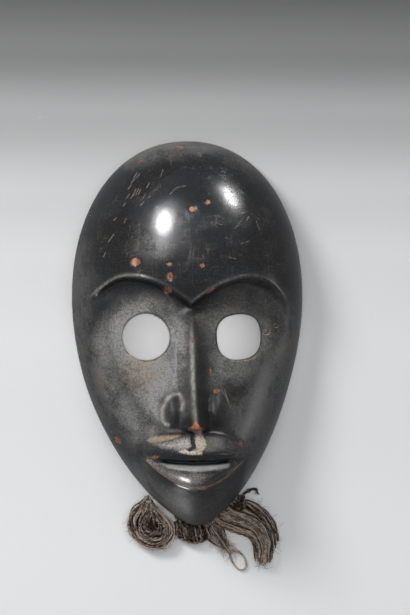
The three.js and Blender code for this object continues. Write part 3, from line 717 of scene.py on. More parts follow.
class Nodes:
    # short names for building a node tree
    def __init__(self, name):
        self.material = bpy.data.materials.new(name)
        self.material.use_nodes = True
        self.tree = self.material.node_tree
        self.tree.nodes.clear()

    def add(self, kind, **settings):
        node = self.tree.nodes.new(kind)
        for key, value in settings.items():
            setattr(node, key, value)
        return node

    def join(self, source, target):
        self.tree.links.new(source, target)

    def value(self, socket, given):
        if isinstance(given, bpy.types.NodeSocket):
            self.join(given, socket)
        else:
            socket.default_value = given

    def math(self, operation, a, b=0.0, clamp=False):
        node = self.add("ShaderNodeMath", operation=operation, use_clamp=clamp)
        self.value(node.inputs[0], a)
        self.value(node.inputs[1], b)
        return node.outputs[0]

    def times(self, a, b, clamp=False):
        return self.math("MULTIPLY", a, b, clamp)

    def plus(self, a, b, clamp=False):
        return self.math("ADD", a, b, clamp)

    def most(self, first, *others):
        for other in others:
            first = self.math("MAXIMUM", first, other)
        return first

    def ramp(self, given, low, high, fromValue=0.0, toValue=1.0):
        node = self.add("ShaderNodeMapRange", interpolation_type="SMOOTHSTEP")
        for i, part in enumerate((given, low, high, fromValue, toValue)):
            self.value(node.inputs[i], part)
        return node.outputs[0]

    def noise(self, vector, scale, detail=3.0, roughness=0.55, stretch=(1, 1, 1)):
        mapping = self.add("ShaderNodeMapping")
        self.join(vector, mapping.inputs["Vector"])
        mapping.inputs["Scale"].default_value = stretch
        node = self.add("ShaderNodeTexNoise")
        self.join(mapping.outputs[0], node.inputs["Vector"])
        node.inputs["Scale"].default_value = scale
        node.inputs["Detail"].default_value = detail
        node.inputs["Roughness"].default_value = roughness
        return node.outputs[0]

    def blend(self, factor, a, b):
        node = self.add("ShaderNodeMix", data_type="RGBA")
        self.value(node.inputs[0], factor)
        for socket, given in ((node.inputs[6], a), (node.inputs[7], b)):
            self.value(socket, given)
        return node.outputs[2]

    def mark(self, name):
        return self.add("ShaderNodeAttribute", attribute_name=name).outputs["Fac"]

    def shaken(self, given, noise, amount):
        # a value moved up and down by a noise
        return self.plus(given, self.times(self.math("SUBTRACT", noise, 0.5), amount))

    def bump(self, height, strength, distance):
        node = self.add("ShaderNodeBump")
        for name, given in (("Height", height), ("Strength", strength), ("Distance", distance)):
            self.value(node.inputs[name], given)
        return node.outputs[0]

    def finish(self, sockets):
        shader = self.add("ShaderNodeBsdfPrincipled")
        for name, given in sockets.items():
            self.value(shader.inputs[name], given)
        self.join(shader.outputs[0], self.add("ShaderNodeOutputMaterial").inputs["Surface"])
        return self.material


patina = {
    "black": (0.0135, 0.0130, 0.0128, 1), "blackWarm": (0.028, 0.023, 0.019, 1),
    "blackBlue": (0.017, 0.019, 0.023, 1), "speck": (0.075, 0.07, 0.065, 1),
    "bare": (0.44, 0.19, 0.085, 1), "bareDark": (0.13, 0.055, 0.03, 1), "pale": (0.52, 0.44, 0.35, 1),
    "bloomAndSheen": (0.25, 0.246, 0.238, 1), "bloomWarm": (0.26, 0.225, 0.185, 1), "tan": (0.42, 0.26, 0.15, 1),
    "dustAndShelfLight": (0.24, 0.24, 0.235, 1), "lip": (0.47, 0.44, 0.405, 1), "lipDark": (0.18, 0.155, 0.13, 1),
    "scratch": (0.31, 0.295, 0.27, 1), "insideWood": (0.075, 0.05, 0.034, 1),
    "insideDark": (0.02, 0.014, 0.011, 1),
}
polish = {
    "rough": 0.195, "blotchRough": 0.09, "mattRough": 0.38, "specular": 0.5, "dullSpecular": 0.22,
    "scratches": 0.22, "relief": 0.35, "reliefDepth": 0.0005,
}
woodNoises = {   # scale, detail, roughness and stretch
    "coarse": (28, 4), "grain": (420, 4, 0.6, (1, 0.12, 1)), "speckle": (900, 3, 0.7),
    "blotch": (75, 5, 0.65), "scratchA": (210, 1, 0.5, (1, 0.09, 1)), "scratchB": (240, 1, 0.5, (0.14, 1, 1)),
    "dots": (1500, 2, 0.5), "rubbing": (330, 3),
}


def makeWoodMaterial():
    n = Nodes("blackenedWood")
    at = n.add("ShaderNodeTexCoord").outputs["Object"]
    noises = (n.noise(at, *given) for given in woodNoises.values())
    coarse, grain, speckle, blotch, scratchA, scratchB, dots, rubbing = noises
    base = n.blend(n.ramp(coarse, 0.35, 0.65), patina["black"], patina["blackBlue"])
    base = n.blend(n.ramp(blotch, 0.5, 0.75, 0, 0.7), base, patina["blackWarm"])
    base = n.blend(n.ramp(speckle, 0.48, 0.7, 0, 0.32), base, patina["speck"])

    # bloom: rubbed grey-brown dust, with painted sheen on the nose's left flank and the crown, broken up by
    # two sizes of noise
    mottle = n.times(n.ramp(speckle, 0.36, 0.62, 0.45, 1.15), n.ramp(blotch, 0.34, 0.58, 0.45, 1.1))
    bloomAndSheenAmount = n.times(n.mark("bloomAndSheen"), mottle, clamp=True)
    bloomAndSheenColour = n.blend(n.ramp(coarse, 0.49, 0.66), patina["bloomAndSheen"], patina["bloomWarm"])
    base = n.blend(bloomAndSheenAmount, base, bloomAndSheenColour)

    # fine scratches, which are thin crossings of two stretched noises, and dots
    lineA = n.ramp(n.math("ABSOLUTE", n.math("SUBTRACT", scratchA, 0.53)), 0.0, 0.008, 1, 0)
    lineB = n.ramp(n.math("ABSOLUTE", n.math("SUBTRACT", scratchB, 0.55)), 0.0, 0.007, 1, 0)
    scratched = n.times(n.most(lineA, lineB), n.ramp(blotch, 0.45, 0.6))
    scratched = n.most(scratched, n.times(n.ramp(dots, 0.66, 0.72), n.ramp(blotch, 0.4, 0.6)))
    base = n.blend(n.times(scratched, polish["scratches"]), base, patina["scratch"])

    # dull planes with the painted light on the lip's shelf, rubbed edges with the painted highlights on the
    # brow and the nose ridge, and single scratches
    dustAndShelfLightAmount = n.ramp(n.shaken(n.mark("dustAndShelfLight"), blotch, 0.5), 0.0, 0.8)
    dustAndShelfLightAmount = n.times(dustAndShelfLightAmount, n.ramp(grain, 0.3, 0.6, 0.7, 1))
    base = n.blend(dustAndShelfLightAmount, base, patina["dustAndShelfLight"])
    rubbed = n.times(n.mark("rubbedEdgeAndHighlight"), n.ramp(rubbing, 0.36, 0.58, 0.5, 1))
    base = n.blend(n.times(rubbed, 0.8, clamp=True), base, patina["scratch"])
    drawn = n.ramp(n.shaken(n.mark("scratch"), speckle, 0.5), 0.1, 0.46, 1, 0)
    base = n.blend(n.times(drawn, n.ramp(grain, 0.34, 0.5, 0.3, 1)), base, patina["lipDark"])

    # the rubbed lips with the painted reflection on the lower lip's front, and the tan edges
    lipAmount = n.ramp(n.shaken(n.mark("lip"), speckle, 0.9), -0.2, 0.8)
    lipColour = n.blend(n.ramp(speckle, 0.3, 0.62), patina["lipDark"], patina["lip"])
    base = n.blend(n.times(lipAmount, n.ramp(blotch, 0.34, 0.5, 0.7, 1)), base, lipColour)
    tanAmount = n.ramp(n.shaken(n.mark("tan"), speckle, 2.2), 0.0, 0.9)
    base = n.blend(tanAmount, base, n.blend(n.ramp(grain, 0.35, 0.6), patina["bloomWarm"], patina["tan"]))

    # bare wood at chips and worn edges, and the flaked wood under the nose
    wornAmount = n.ramp(n.shaken(n.mark("worn"), speckle, 0.9), 0.16, 0.36)
    base = n.blend(wornAmount, base, n.blend(n.ramp(grain, 0.35, 0.65), patina["bareDark"], patina["bare"]))
    paleAmount = n.ramp(n.shaken(n.mark("pale"), speckle, 1.8), 0.0, 0.7)
    base = n.blend(paleAmount, base, n.blend(n.ramp(speckle, 0.3, 0.55), patina["lipDark"], patina["pale"]))

    # the hollow is plainer and rougher
    insideColour = n.blend(n.ramp(grain, 0.3, 0.7), patina["insideDark"], patina["insideWood"])
    base = n.blend(n.mark("inside"), base, insideColour)

    matt = n.most(wornAmount, paleAmount, n.mark("inside"), n.times(n.most(bloomAndSheenAmount, dustAndShelfLightAmount), 0.75))
    matt = n.most(matt, tanAmount, n.times(n.mark("dull"), 0.7))
    rough = n.plus(polish["rough"], n.times(n.ramp(blotch, 0.3, 0.7), polish["blotchRough"]))
    relief = n.plus(n.times(blotch, 0.5), n.times(speckle, n.plus(0.08, n.times(matt, 0.5))))
    relief = n.plus(relief, n.times(grain, n.times(matt, 0.5)))
    relief = n.math("SUBTRACT", relief, n.times(scratched, 0.25))
    return n.finish({
        "Base Color": base, "IOR": 1.5,
        "Roughness": n.plus(rough, n.times(matt, polish["mattRough"]), clamp=True),
        "Specular IOR Level": n.ramp(n.mark("dull"), 0, 1, polish["specular"], polish["dullSpecular"]),
        "Normal": n.bump(relief, polish["relief"], polish["reliefDepth"]),
    })


def settle(piece, nodes, material):
    piece.data.materials.clear()
    piece.data.materials.append(material)
    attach(piece, "root")
    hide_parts(*nodes)


def makeMask():
    piece = link("carvedMask", makeShell())
    cutOut(piece, makeCutter())
    mesh = piece.data
    mesh.shade_smooth()
    mesh.set_sharp_from_angle(angle=math.radians(wood["sharpAngle"]))
    storeMarks(mesh)
    settle(piece, ["mask"], makeWoodMaterial())
    print("mask", len(mesh.polygons), "faces")
    return piece


carvedMask = makeMask()

# The beard: cords and loose fibres laid in the bundles of the frame. Lengths are in millimetres, and
# places are [along the rim, out from it] at one of the lashing holes.
beard = {
    "cord": 1.3, "twist": 3.6, "fibre": 0.72, "hair": 0.13, "clump": 2, "toneSteps": 24, "seed": 7,
}
dice = np.random.default_rng(beard["seed"])
leftJaw, leftChin, rightChin, rightJaw = stations[-2], stations[-1], stations[0], stations[1]
chinTip = ((float(lean(0)) + middleX, chinY), (0.0, -1.0))


def runOf(line):
    return np.concatenate([[0], np.cumsum(np.linalg.norm(np.diff(line, axis=0), axis=1))])


def unit(lines):
    return lines / np.maximum(np.linalg.norm(lines, axis=1), 1e-9)[:, None]


def fromRim(station, places):
    (px, py), (ox, oy) = station
    return [(px - oy * along + ox * out, py + ox * along + oy * out, 0.0) for along, out in places]


def smoothLine(points, step, closed=False):
    # evenly spaced places on a smooth line through points; a closed line ends where it starts
    given = np.array(points, float)
    if closed:
        given = np.vstack([given[-1:], given, given[:2]])
    else:
        given = np.vstack([2 * given[0] - given[1], given, 2 * given[-1] - given[-2]])
    t = np.linspace(0, 1, 12, endpoint=False)[:, None]
    spans = []
    for k in range(len(given) - 3):
        p, q, r, s = given[k:k + 4]
        bend = (2 * p - 5 * q + 4 * r - s) * t * t + (3 * q - p - 3 * r + s) * t ** 3
        spans.append(0.5 * (2 * q + (r - p) * t + bend))
    dense = np.vstack(spans + [given[-2:-1]])
    run = runOf(dense)
    at = np.linspace(0, run[-1], max(int(run[-1] / step), 4) + 1)
    return np.stack([np.interp(at, run, dense[:, k]) for k in range(3)], axis=1)


def flatLine(station, places, step, height):
    # a smooth line on the floor's level, raised to one height
    line = smoothLine(fromRim(station, places), step)
    line[:, 2] = height
    return line


def wander(line, size, wave, closed=False):
    # smooth random drift off a line, about one wave per given length
    run = runOf(line)
    off = np.zeros(line.shape)
    for k in (1, 2, 3):
        turns = max(round(run[-1] * k / wave), 1) if closed else run[-1] * k / wave
        phase = dice.uniform(0, 2 * np.pi, 3)
        off += np.sin(2 * np.pi * turns * (run / run[-1])[:, None] + phase) / k
    return off * size * np.array([0.6, 0.6, 0.35])


def frameOf(line, closed=False):
    # the sideways and upward directions at each place of a line
    steps = np.roll(line, -1, axis=0) - np.roll(line, 1, axis=0) if closed else np.gradient(line, axis=0)
    along = unit(steps)
    side = unit(np.cross(along, (0, 0, 1)))
    return side, np.cross(side, along)


def single(line, diameter, tone, closed=False, tip=0.5):
    radius = np.full(len(line), diameter / 2)
    if not closed:
        radius[-1] *= tip
        radius[0] *= 0.8
    return [(line, radius, tone, closed)]


def twoPly(line, diameter, tone, closed=False):
    # two yarns twisted round each other
    if closed:
        line = line[:-1]
    side, up = frameOf(line, closed)
    run = runOf(line)
    turns = max(round(run[-1] / beard["twist"]), 1)
    phase = 2 * np.pi * turns * np.arange(len(line)) / len(line)
    yarns = []
    for half in (0, np.pi):
        off = side * np.cos(phase + half)[:, None] + up * np.sin(phase + half)[:, None]
        yarns += single(line + off * 0.24 * diameter, 0.56 * diameter, tone, closed)
    return yarns


def strayHairs(line, count, reach, tone):
    # fine hairs that leave a strand and curl away from it
    hairs = []
    for _ in range(count):
        start = line[dice.integers(len(line) // 5, len(line))]
        heading = dice.uniform(0, 2 * np.pi)
        bend = dice.uniform(-0.4, 0.4)
        steps = int(dice.uniform(0.4, 1) * reach / 0.8)
        places = [start]
        for _ in range(steps):
            heading += bend + dice.normal(0, 0.08)
            lift = dice.normal(0, 0.12) - 0.1
            places.append(places[-1] + 0.8 * np.array([np.cos(heading), np.sin(heading), lift]))
        hairs += single(np.array(places), beard["hair"], tone + dice.uniform(-0.2, 0.3))
    return hairs


def makeBundle(name, node, strands, material):
    # every strand is a spline with a round section, and the bundle is made one mesh
    curve = bpy.data.curves.new(name, "CURVE")
    curve.dimensions, curve.fill_mode = "3D", "FULL"
    curve.bevel_depth, curve.bevel_resolution = mm, 0
    curve.use_fill_caps = True
    for _ in range(beard["toneSteps"] + 1):
        curve.materials.append(None)
    for line, radius, tone, closed in strands:
        spline = curve.splines.new("POLY")
        spline.points.add(len(line) - 1)
        places = np.column_stack([line * mm, np.ones(len(line))])
        places[:, 2] = np.maximum(places[:, 2], radius * mm)
        spline.points.foreach_set("co", places.ravel())
        spline.points.foreach_set("radius", radius)
        spline.use_cyclic_u = closed
        spline.material_index = int(np.clip(tone, 0, 1) * beard["toneSteps"])   # carries the tone to the mesh
    source = link(name + "Lines", curve)
    mesh = meshNow(source)
    bpy.data.objects.remove(source)
    bpy.data.curves.remove(curve)
    mesh.name = name
    steps = np.zeros(len(mesh.polygons), dtype=np.int32)
    mesh.polygons.foreach_get("material_index", steps)
    mesh.polygons.foreach_set("material_index", np.zeros_like(steps))
    storeMark(mesh, "tone", steps / beard["toneSteps"], "FACE")
    mesh.shade_smooth()
    settle(link(name, mesh), [node], material)
    mesh.calc_loop_triangles()
    print(name, len(strands), "strands,", len(mesh.loop_triangles), "triangles")


def underRim(along, out, bow):
    # a place just outside the rim beside a hole, for a rim that bows back by bow * along^2
    return (along, out - bow * along * along)


def sheaf(station, style):
    # loose fibres in clumps side by side along a path, the outer clumps first. They come down from the rim
    # or the knot, where "root" gives their place: where along it starts, how wide it spreads, how far out it
    # is, how the rim bows and how high it is.
    strands = []
    base = smoothLine(fromRim(station, style["path"]), 1.4)
    side, _ = frameOf(base)
    share = np.linspace(0, 1, len(base))
    half = np.interp(share, np.linspace(0, 1, len(style["widths"])), style["widths"]) / 2
    start, spread, out, bow, rootHeight = style["root"]
    clumps = style["fibres"] // beard["clump"]
    outer = int(0.6 * clumps)
    for i in range(clumps):
        onTop = i < outer
        middle = -0.95 + 1.9 * (i + dice.uniform(0.2, 0.8)) / outer if onTop else dice.uniform(-0.95, 0.95)
        lift = dice.uniform(0.75, 1) if onTop else dice.uniform(0.1, 0.7)
        drift = dice.normal(0, style["cross"]) * (share - 0.2)
        drift = drift + 0.1 * np.sin(dice.uniform(3, 9) * share + dice.uniform(0, 6))
        # clumps underneath are painted darker, as shade
        clumpTone = style["tone"] + style["slope"] * middle + dice.normal(0, 0.25) - (0 if onTop else 0.35)
        clumpEnd = dice.uniform(*style["ends"])
        for _ in range(beard["clump"]):
            across = middle + dice.normal(0, 0.06)
            a = np.clip(across + drift + dice.normal(0, 0.05) * share, -1.12, 1.12)
            diameter = beard["fibre"] * dice.uniform(0.7, 1.4)
            line = base - side * (half * a)[:, None]
            arch = lift * np.sqrt(np.maximum(1 - a * a, 0))
            line[:, 2] = diameter / 2 + (style["height"] - diameter) * arch + dice.normal(0, 0.5)
            (x, y, _), = fromRim(station, [underRim(start + spread * across, out, bow)])
            root = np.array((x, y, rootHeight + 1.6 * lift))
            line = mix(root + 0.15 * (line - line[0]), line, smooth(share, 0, 0.22)[:, None])
            line += wander(line, 0.3, 14)
            last = int(len(line) * min(clumpEnd * dice.uniform(0.96, 1.03), 1))
            strands += single(line[:last], diameter, clumpTone + dice.normal(0, 0.15))
    return strands


def looseHairs(station, style):
    # stray hairs along a bundle's path: how many, their reach, their tone and the height they leave it at
    count, reach, tone, height = style["hairs"]
    return strayHairs(flatLine(station, style["path"], 1, height), count, reach, tone)


fibreTones = {
    "dark": (0.014, 0.011, 0.010, 1), "mid": (0.105, 0.078, 0.062, 1), "light": (0.52, 0.41, 0.32, 1),
    "rough": 0.7, "relief": 0.6, "reliefDepth": 0.0003,
}


def makeFibreMaterial():
    n = Nodes("plantFibre")
    island = n.add("ShaderNodeNewGeometry").outputs["Random Per Island"]
    # every strand has its own pattern
    own = n.add("ShaderNodeVectorMath", operation="ADD")
    n.join(n.add("ShaderNodeTexCoord").outputs["Object"], own.inputs[0])
    n.join(island, own.inputs[1])
    patches = n.noise(own.outputs[0], 200, 3)
    threads = n.noise(own.outputs[0], 900, 2, 0.6)
    tone = n.shaken(n.shaken(n.shaken(n.mark("tone"), island, 0.6), patches, 1.8), threads, 2.0)
    base = n.blend(n.ramp(tone, 0.1, 0.5), fibreTones["dark"], fibreTones["mid"])
    return n.finish({
        "Base Color": n.blend(n.ramp(tone, 0.45, 1.15), base, fibreTones["light"]),
        "Roughness": fibreTones["rough"],
        "Normal": n.bump(threads, fibreTones["relief"], fibreTones["reliefDepth"]),
    })


# The hank: cords wound in teardrop loops, drawn together where they hang from the jaw
hank = {
    "edge": [
        (-4.2, 0.8), (-4.8, 5.6), (-5.3, 13.2), (-3.1, 20.2), (1.7, 24.7), (9.3, 27.2), (18.2, 26),
        (24.1, 21.6), (28.2, 16), (25.8, 8.2), (17.7, 2.6), (8.4, 2.2), (2, 2.2),
    ],
    "centre": (13, 12.2), "apex": (-2.6, 1.4), "height": 9.6, "loops": 12, "underLoops": 34,
    "drawn": 0.8, "drawnAngle": 0.42, "tone": 0.79, "hairs": (30, 5, 0.5),
}


def hankLoops():
    edge = smoothLine(fromRim(leftJaw, hank["edge"]), 0.75, closed=True)
    centre = np.array(fromRim(leftJaw, [hank["centre"]])[0])
    spoke = edge - centre
    apex = np.array(fromRim(leftJaw, [hank["apex"]])[0]) - centre
    turn = np.arctan2(spoke[:, 1], spoke[:, 0]) - math.atan2(apex[1], apex[0])
    near = np.exp(-(np.angle(np.exp(1j * turn)) / hank["drawnAngle"]) ** 2)   # 1 where the loops hang
    strands = []
    total = hank["loops"] + hank["underLoops"]
    for i in range(total):
        top = i < hank["loops"]
        size = dice.uniform(0.3, 0.7) if top else dice.uniform(0.07, 0.93)
        size = mix(0.2, 0.98, (i + size) / hank["loops"]) if top else size
        grown = size + (0.96 - size) * near * hank["drawn"] * size * dice.uniform(0.8, 1)
        line = centre + spoke * grown[:, None]
        ridge = np.sqrt(max(1 - ((size - 0.6) / 0.52) ** 2, 0.02))
        z = (hank["height"] - beard["cord"]) * (ridge if top else ridge * dice.uniform(0.2, 0.7))
        z = mix(z * dice.uniform(0.8, 1), wood["holeHeight"] - 1.5 * dice.uniform(0, 1), near * 0.8)
        line[:, 2] = beard["cord"] / 2 + z
        shift = dice.normal(0, 1.1 * (1 - size) + 0.35, 3) * (1, 1, 0.5)
        line = line + shift * (1 - near)[:, None] + wander(line, 1.0, 32, closed=True)
        line[-1] = line[0]
        # the loops underneath and the small inner loops are painted darker, as shade
        tone = hank["tone"] + dice.normal(0, 0.2) - (0 if top else 0.3) - 0.3 * smooth(0.45 - size, 0, 0.3)
        strands += twoPly(line, beard["cord"] * dice.uniform(0.85, 1.1), tone, closed=True)
    guide = edge.copy()
    guide[:, 2] = 2
    return strands + strayHairs(guide, *hank["hairs"])


# The bunch under the chin: a roll of cords with others slung over it, up against the rim
bunch = {
    "path": [(-9.5, 4.0), (-3, 5.6), (4.6, 5.4)], "height": 9.2, "reach": 10.6, "tone": 0.45,
    "core": 14, "slung": 20, "along": 5,
}


def bunchStrands():
    strands = []
    start = fromRim(leftChin, [(-1.2, 1.4)])
    base = smoothLine(start + fromRim(chinTip, bunch["path"]), 0.9)
    side, _ = frameOf(base)
    for i in range(bunch["core"]):
        turn = np.pi * (i + 0.5) / bunch["core"]
        share = np.linspace(0, 1, len(base))
        half = np.interp(share, [0, 0.3, 0.7, 1], [2.4, 4.6, 5.8, 4.8])
        line = base + side * (half * 0.8 * math.cos(turn))[:, None]
        line[:, 2] = mix(wood["holeHeight"], 0.8 + 5.4 * math.sin(turn), smooth(share, 0, 0.3))
        line = line + wander(line, 0.4, 18)
        # the core cords under the slung ones are painted darker, as shade
        strands += twoPly(line, beard["cord"], bunch["tone"] - 0.15 + dice.normal(0, 0.15))
    for i in range(bunch["slung"]):
        at = mix(-13.4, 6.5, (i + dice.uniform(0.1, 0.9)) / bunch["slung"])
        out = bunch["reach"] - 0.035 * (at + 2) ** 2 + dice.normal(0, 0.25)
        sway = dice.uniform(0.2, 2.6)
        top = underRim(at - 0.8, 0.5, 0.037)
        places = fromRim(chinTip, [
            top, (at, top[1] + 2.4), (at + 0.6 * sway, 0.6 * out), (at + sway, 0.9 * out), (at + sway, out),
            (at + 0.6 * sway, 0.75 * out),
        ])
        heights = (4.2, 7.4, bunch["height"] - 0.8, 6.2, 3.0, 0.8)
        line = smoothLine([(x, y, z) for (x, y, _), z in zip(places, heights)], 0.7)
        strands += twoPly(line + wander(line, 0.3, 12), beard["cord"], bunch["tone"] + dice.normal(0, 0.22))
    for i in range(bunch["along"]):
        # cords that run along the lower edge
        line = smoothLine(fromRim(chinTip, [(-13, 5.4), (-8, 9.4), (-1, 10.8), (6.4, 8.6)]), 0.8)
        line[:, 2] = 1 + 1.1 * i
        line = line + dice.normal(0, 0.4, 3) + wander(line, 0.5, 16)
        strands += twoPly(line, beard["cord"], bunch["tone"] + dice.normal(0, 0.2))
    return strands


# The tail: a thin wedge of fibres whose longest cords turn back in a loop
tail = {
    "path": [(-3.4, 2.6), (-3.2, 13), (-2.8, 20.6), (-2.4, 25.6)],
    "widths": [14, 12, 6, 2.2], "height": 5.5, "root": (-2.6, -7, 0.5, 0.0086, 3),
    "fibres": 84, "ends": (0.6, 1.0), "cross": 0.2, "tone": 0.7, "slope": 0, "hairs": (150, 11, 0.7, 2),
    "loop": [
        (-2.4, 24), (-4.4, 29.4), (-4.4, 34.6), (-2.4, 37.6), (1, 37.4), (3, 34), (3, 29.4), (0.6, 26),
        (-2, 24.4),
    ],
    "loopCords": 3,
}


def tailStrands():
    strands = sheaf(rightChin, tail)
    for i in range(tail["loopCords"]):
        line = flatLine(rightChin, tail["loop"], 0.8, 1.0 + 0.5 * i)
        strands += single(line + wander(line, 0.5, 30), beard["fibre"] * 1.1, tail["tone"] + 0.3 - 0.12 * i)
    return strands + looseHairs(rightChin, tail)


# The sweep: the broad band of tan fibres, which turns down into a blunt tail
sweep = {
    "path": [
        (8.5, 2), (11.5, 6.4), (15.2, 11.8), (18.4, 17.4), (19.9, 23.6), (18.8, 29.8), (15.4, 35.6),
        (10.8, 42),
    ],
    "widths": [17, 17.5, 16, 14.4, 13, 11.4, 10, 8.6], "height": 9.6, "root": (8, 9.5, 0.5, 0.0086, 3.5),
    "fibres": 250, "ends": (0.86, 1.0), "cross": 0.32, "tone": 0.7, "slope": -0.18,
    "hairs": (170, 10, 0.75, 5),
}


def sweepStrands():
    return sheaf(rightChin, sweep) + looseHairs(rightChin, sweep)


# The outer lock: darker fibres that come down from the knot at the right jaw, and the cords that bind the
# sweep to the rim below the knot
lock = {
    "path": [(-0.6, 6.6), (0.4, 11), (0.6, 19.4), (-1.8, 28), (-6.6, 35), (-11.6, 39)],
    "widths": [4, 6.5, 7.5, 7.2, 6.4, 5], "height": 7, "root": (-0.6, 1.6, 5.6, 0, 5),
    "fibres": 70, "ends": (0.86, 1.0), "cross": 0.24, "tone": 0.3, "slope": -0.12, "hairs": (50, 10, 0.4, 3),
    "binding": 22, "bindingTone": 0.16,
}


def lockStrands():
    strands = sheaf(rightJaw, lock)
    for _ in range(lock["binding"]):
        along, far = dice.uniform(-15, -3), dice.uniform(3, 8.5)
        places = [(-0.6, 4.6), (0.45 * along, far), (along, 0.62 * far), (1.2 * along, 0.6)]
        line = flatLine(rightJaw, places, 1, 0)
        line[:, 2] = mix(7.6, 3, np.linspace(0, 1, len(line)) ** 2) + dice.uniform(-1.2, 1.2)
        line = line + wander(line, 0.4, 14)
        strands += single(line, beard["fibre"] * 1.2, lock["bindingTone"] + dice.normal(0, 0.1))
    return strands + looseHairs(rightJaw, lock)


# The ties through the lashing holes, the knot at the right jaw and the string's loose end
knot = {"radius": 1.9, "rise": 2.6, "out": 3.3, "levels": (2.2, 4.6, 7.2), "cord": 1.6, "tone": 0.08}
string = {
    "path": [(2.6, 3.2), (5.6, 4.0), (8, 5.0), (9.6, 7.2), (8.6, 10.1)], "height": 1.2, "tone": 0.1,
    "looseEnds": 5, "looseCord": 0.55,
}
tie = {
    "cord": 1.5, "end": 0.2, "behindWood": 9.9, "tone": 0.4,
    "knotCord": 1.3, "knotRadius": 1.5, "knotRise": 1.8,
}


def knotLine(centre, radius, rise):
    # an overhand knot drawn tight
    t = np.linspace(0, 2 * np.pi, 60)
    turns = np.column_stack([np.sin(t) + 2 * np.sin(2 * t), np.cos(t) - 2 * np.cos(2 * t), -np.sin(3 * t)])
    return np.array(centre) + turns * (radius / 3, radius / 3, rise / 2)


def tieStrands(station):
    (px, py), (ox, oy) = station
    inner = -tie["behindWood"] - 1.2
    z = wood["holeHeight"]
    reaches = (tie["end"], -1, inner / 2, inner - 1.5)
    line = smoothLine([(px + ox * out, py + oy * out, z) for out in reaches], 0.7)
    centre = (px + ox * (inner - 2.3), py + oy * (inner - 2.3), z)
    ball = knotLine(centre, tie["knotRadius"], tie["knotRise"])
    return twoPly(line, tie["cord"], tie["tone"]) + single(ball, tie["knotCord"], tie["tone"], closed=True)


def knotStrands():
    (x, y, _), = fromRim(rightJaw, [(0, knot["out"])])
    strands = []
    for level in knot["levels"]:
        centre = (x + dice.normal(0, 0.2), y + dice.normal(0, 0.2), level)
        line = knotLine(centre, knot["radius"], knot["rise"])
        strands += single(line[:-1], knot["cord"], knot["tone"], closed=True)
    return strands


def stringStrands():
    line = flatLine(rightJaw, string["path"], 0.7, string["height"])
    strands = twoPly(line, beard["cord"], string["tone"])
    for _ in range(string["looseEnds"]):
        loose = line + wander(line, 0.9, 12) + (0, 0, dice.uniform(0, 0.8))
        strands += single(loose, string["looseCord"], string["tone"] + dice.uniform(0, 0.3))
    return strands + strayHairs(line[-4:], 10, 4, 0.4)


fibre = makeFibreMaterial()
bundles = {
    "hankLeft": ("fiber_hank_left", hankLoops), "bunchChin": ("fiber_bunch_chin", bunchStrands),
    "tailLoop": ("fiber_tail_loop", tailStrands), "sweepRight": ("fiber_sweep_right", sweepStrands),
    "lockOuter": ("fiber_lock_outer", lockStrands), "knotRight": ("tie_knot_right", knotStrands),
    "stringEnd": ("tie_string_end", stringStrands),
}
for name, (node, strandsOf) in bundles.items():
    makeBundle(name, node, strandsOf(), fibre)
ties = {
    "tie_left_jaw": leftJaw, "tie_left_chin": leftChin,
    "tie_right_chin": rightChin, "tie_right_jaw": rightJaw,
}
for node, station in ties.items():
    makeBundle("lashing_" + node, node, tieStrands(station), fibre)


# The floor and the light of the studio
studio = {
    "floorSize": 3.0, "world": 0.22, "worldColour": (0.93, 0.96, 1.0, 1),
    "eyeSpot": 60, "eyeSpotReach": 0.052, "eyeSpotAt": (0.0, 0.0115, 0.0), "eyeSpotSize": 0.03,
    "eyeSpotBlend": 0.1,
}
# the floor's brightness by its place along Y, in metres: painted shade, darker beyond the crown where the
# light falls off
floorTones = [
    (-0.15, 0.88), (0.0, 0.80), (0.06, 0.74), (0.10, 0.64), (0.15, 0.42), (0.19, 0.22), (0.23, 0.13),
]
# place in metres, width and height, power, shown in the polish, lights the scene. The lip card reaches
# only the mask.
softboxes = {
    "leftBox": ((-0.545, 0.765, 1.182), (0.25, 0.28), 18, True, False),
    "rightBox": ((0.89, 1.09, 0.51), (0.30, 0.25), 15, True, False),
    "lipCard": ((-0.05, -0.20, 0.012), (0.055, 0.055), 0.13, True, False),
    "rightWall": ((1.45, -0.30, 0.20), (0.6, 0.6), 1.8, True, False),
    "topFill": ((0.12, 0.25, 1.47), (1.6, 1.6), 10, False, True),
    "keyBox": ((-0.85, 0.8, 0.95), (0.5, 0.5), 13, False, True),
}


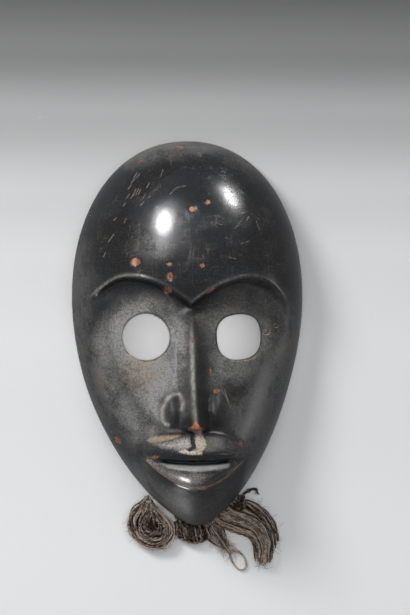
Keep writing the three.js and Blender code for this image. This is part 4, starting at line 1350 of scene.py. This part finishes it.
def makeFloor():
    bm = bmesh.new()
    bmesh.ops.create_grid(bm, x_segments=8, y_segments=8, size=studio["floorSize"])
    floor = link("floor", meshOf(bm, "floor"))
    floor.visible_glossy = False
    n = Nodes("paleFloor")
    split = n.add("ShaderNodeSeparateXYZ")
    n.join(n.add("ShaderNodeTexCoord").outputs["Object"], split.inputs[0])
    low, high = floorTones[0][0], floorTones[-1][0]
    place = n.add("ShaderNodeMapRange")
    for socket, given in zip(place.inputs, (split.outputs["Y"], low, high)):
        n.value(socket, given)
    ramp = n.add("ShaderNodeValToRGB")
    n.join(place.outputs[0], ramp.inputs[0])
    ramp.color_ramp.interpolation = "EASE"
    for _ in floorTones[2:]:
        ramp.color_ramp.elements.new(0.5)
    for element, (y, tone) in zip(ramp.color_ramp.elements, floorTones):
        element.position = (y - low) / (high - low)
        element.color = (tone, tone, tone * 1.004, 1)
    material = n.finish({"Base Color": ramp.outputs[0], "Roughness": 0.9, "Specular IOR Level": 0.1})
    floor.data.materials.append(material)
    return floor


def addLamp(name, kind, place, away, power):
    data = bpy.data.lights.new(name, kind)
    data.energy = power
    lamp = link(name, data)
    lamp.location = place
    lamp.rotation_euler = away.to_track_quat("Z", "Y").to_euler()
    return lamp, data


def lightOnly(lamp, piece):
    lit = bpy.data.collections.new("litBy_" + lamp.name)
    lit.objects.link(piece)
    lamp.light_linking.receiver_collection = lit


def addSoftbox(name, place, size, power, shown, lights):
    lamp, data = addLamp(name, "AREA", place, Vector(place), power)
    data.shape = "ELLIPSE"
    data.size, data.size_y = size
    lamp.visible_camera = False
    lamp.visible_glossy, lamp.visible_diffuse = shown, lights
    return lamp


def addEyeSpot(floor):
    # a narrow lamp beside the lens that reaches the floor behind the eye holes and lights nothing else
    place = bpy.context.scene.camera.location
    away = place - Vector(studio["eyeSpotAt"])
    lamp, data = addLamp("eyeSpot", "SPOT", place, away, studio["eyeSpot"])
    data.shadow_soft_size, data.spot_blend = studio["eyeSpotSize"], studio["eyeSpotBlend"]
    data.spot_size = 2 * math.atan(studio["eyeSpotReach"] / away.length)
    lightOnly(lamp, floor)


def makeLight(floor, mask):
    bpy.context.scene.view_settings.view_transform = "Standard"
    world = bpy.data.worlds.new("studio")
    bpy.context.scene.world = world
    world.use_nodes = True
    sky = world.node_tree.nodes["Background"].inputs
    sky["Color"].default_value, sky["Strength"].default_value = studio["worldColour"], studio["world"]
    lamps = {name: addSoftbox(name, *given) for name, given in softboxes.items()}
    lightOnly(lamps["lipCard"], mask)
    addEyeSpot(floor)
    print("floor and", len(lamps) + 1, "lamps")


makeLight(makeFloor(), carvedMask)
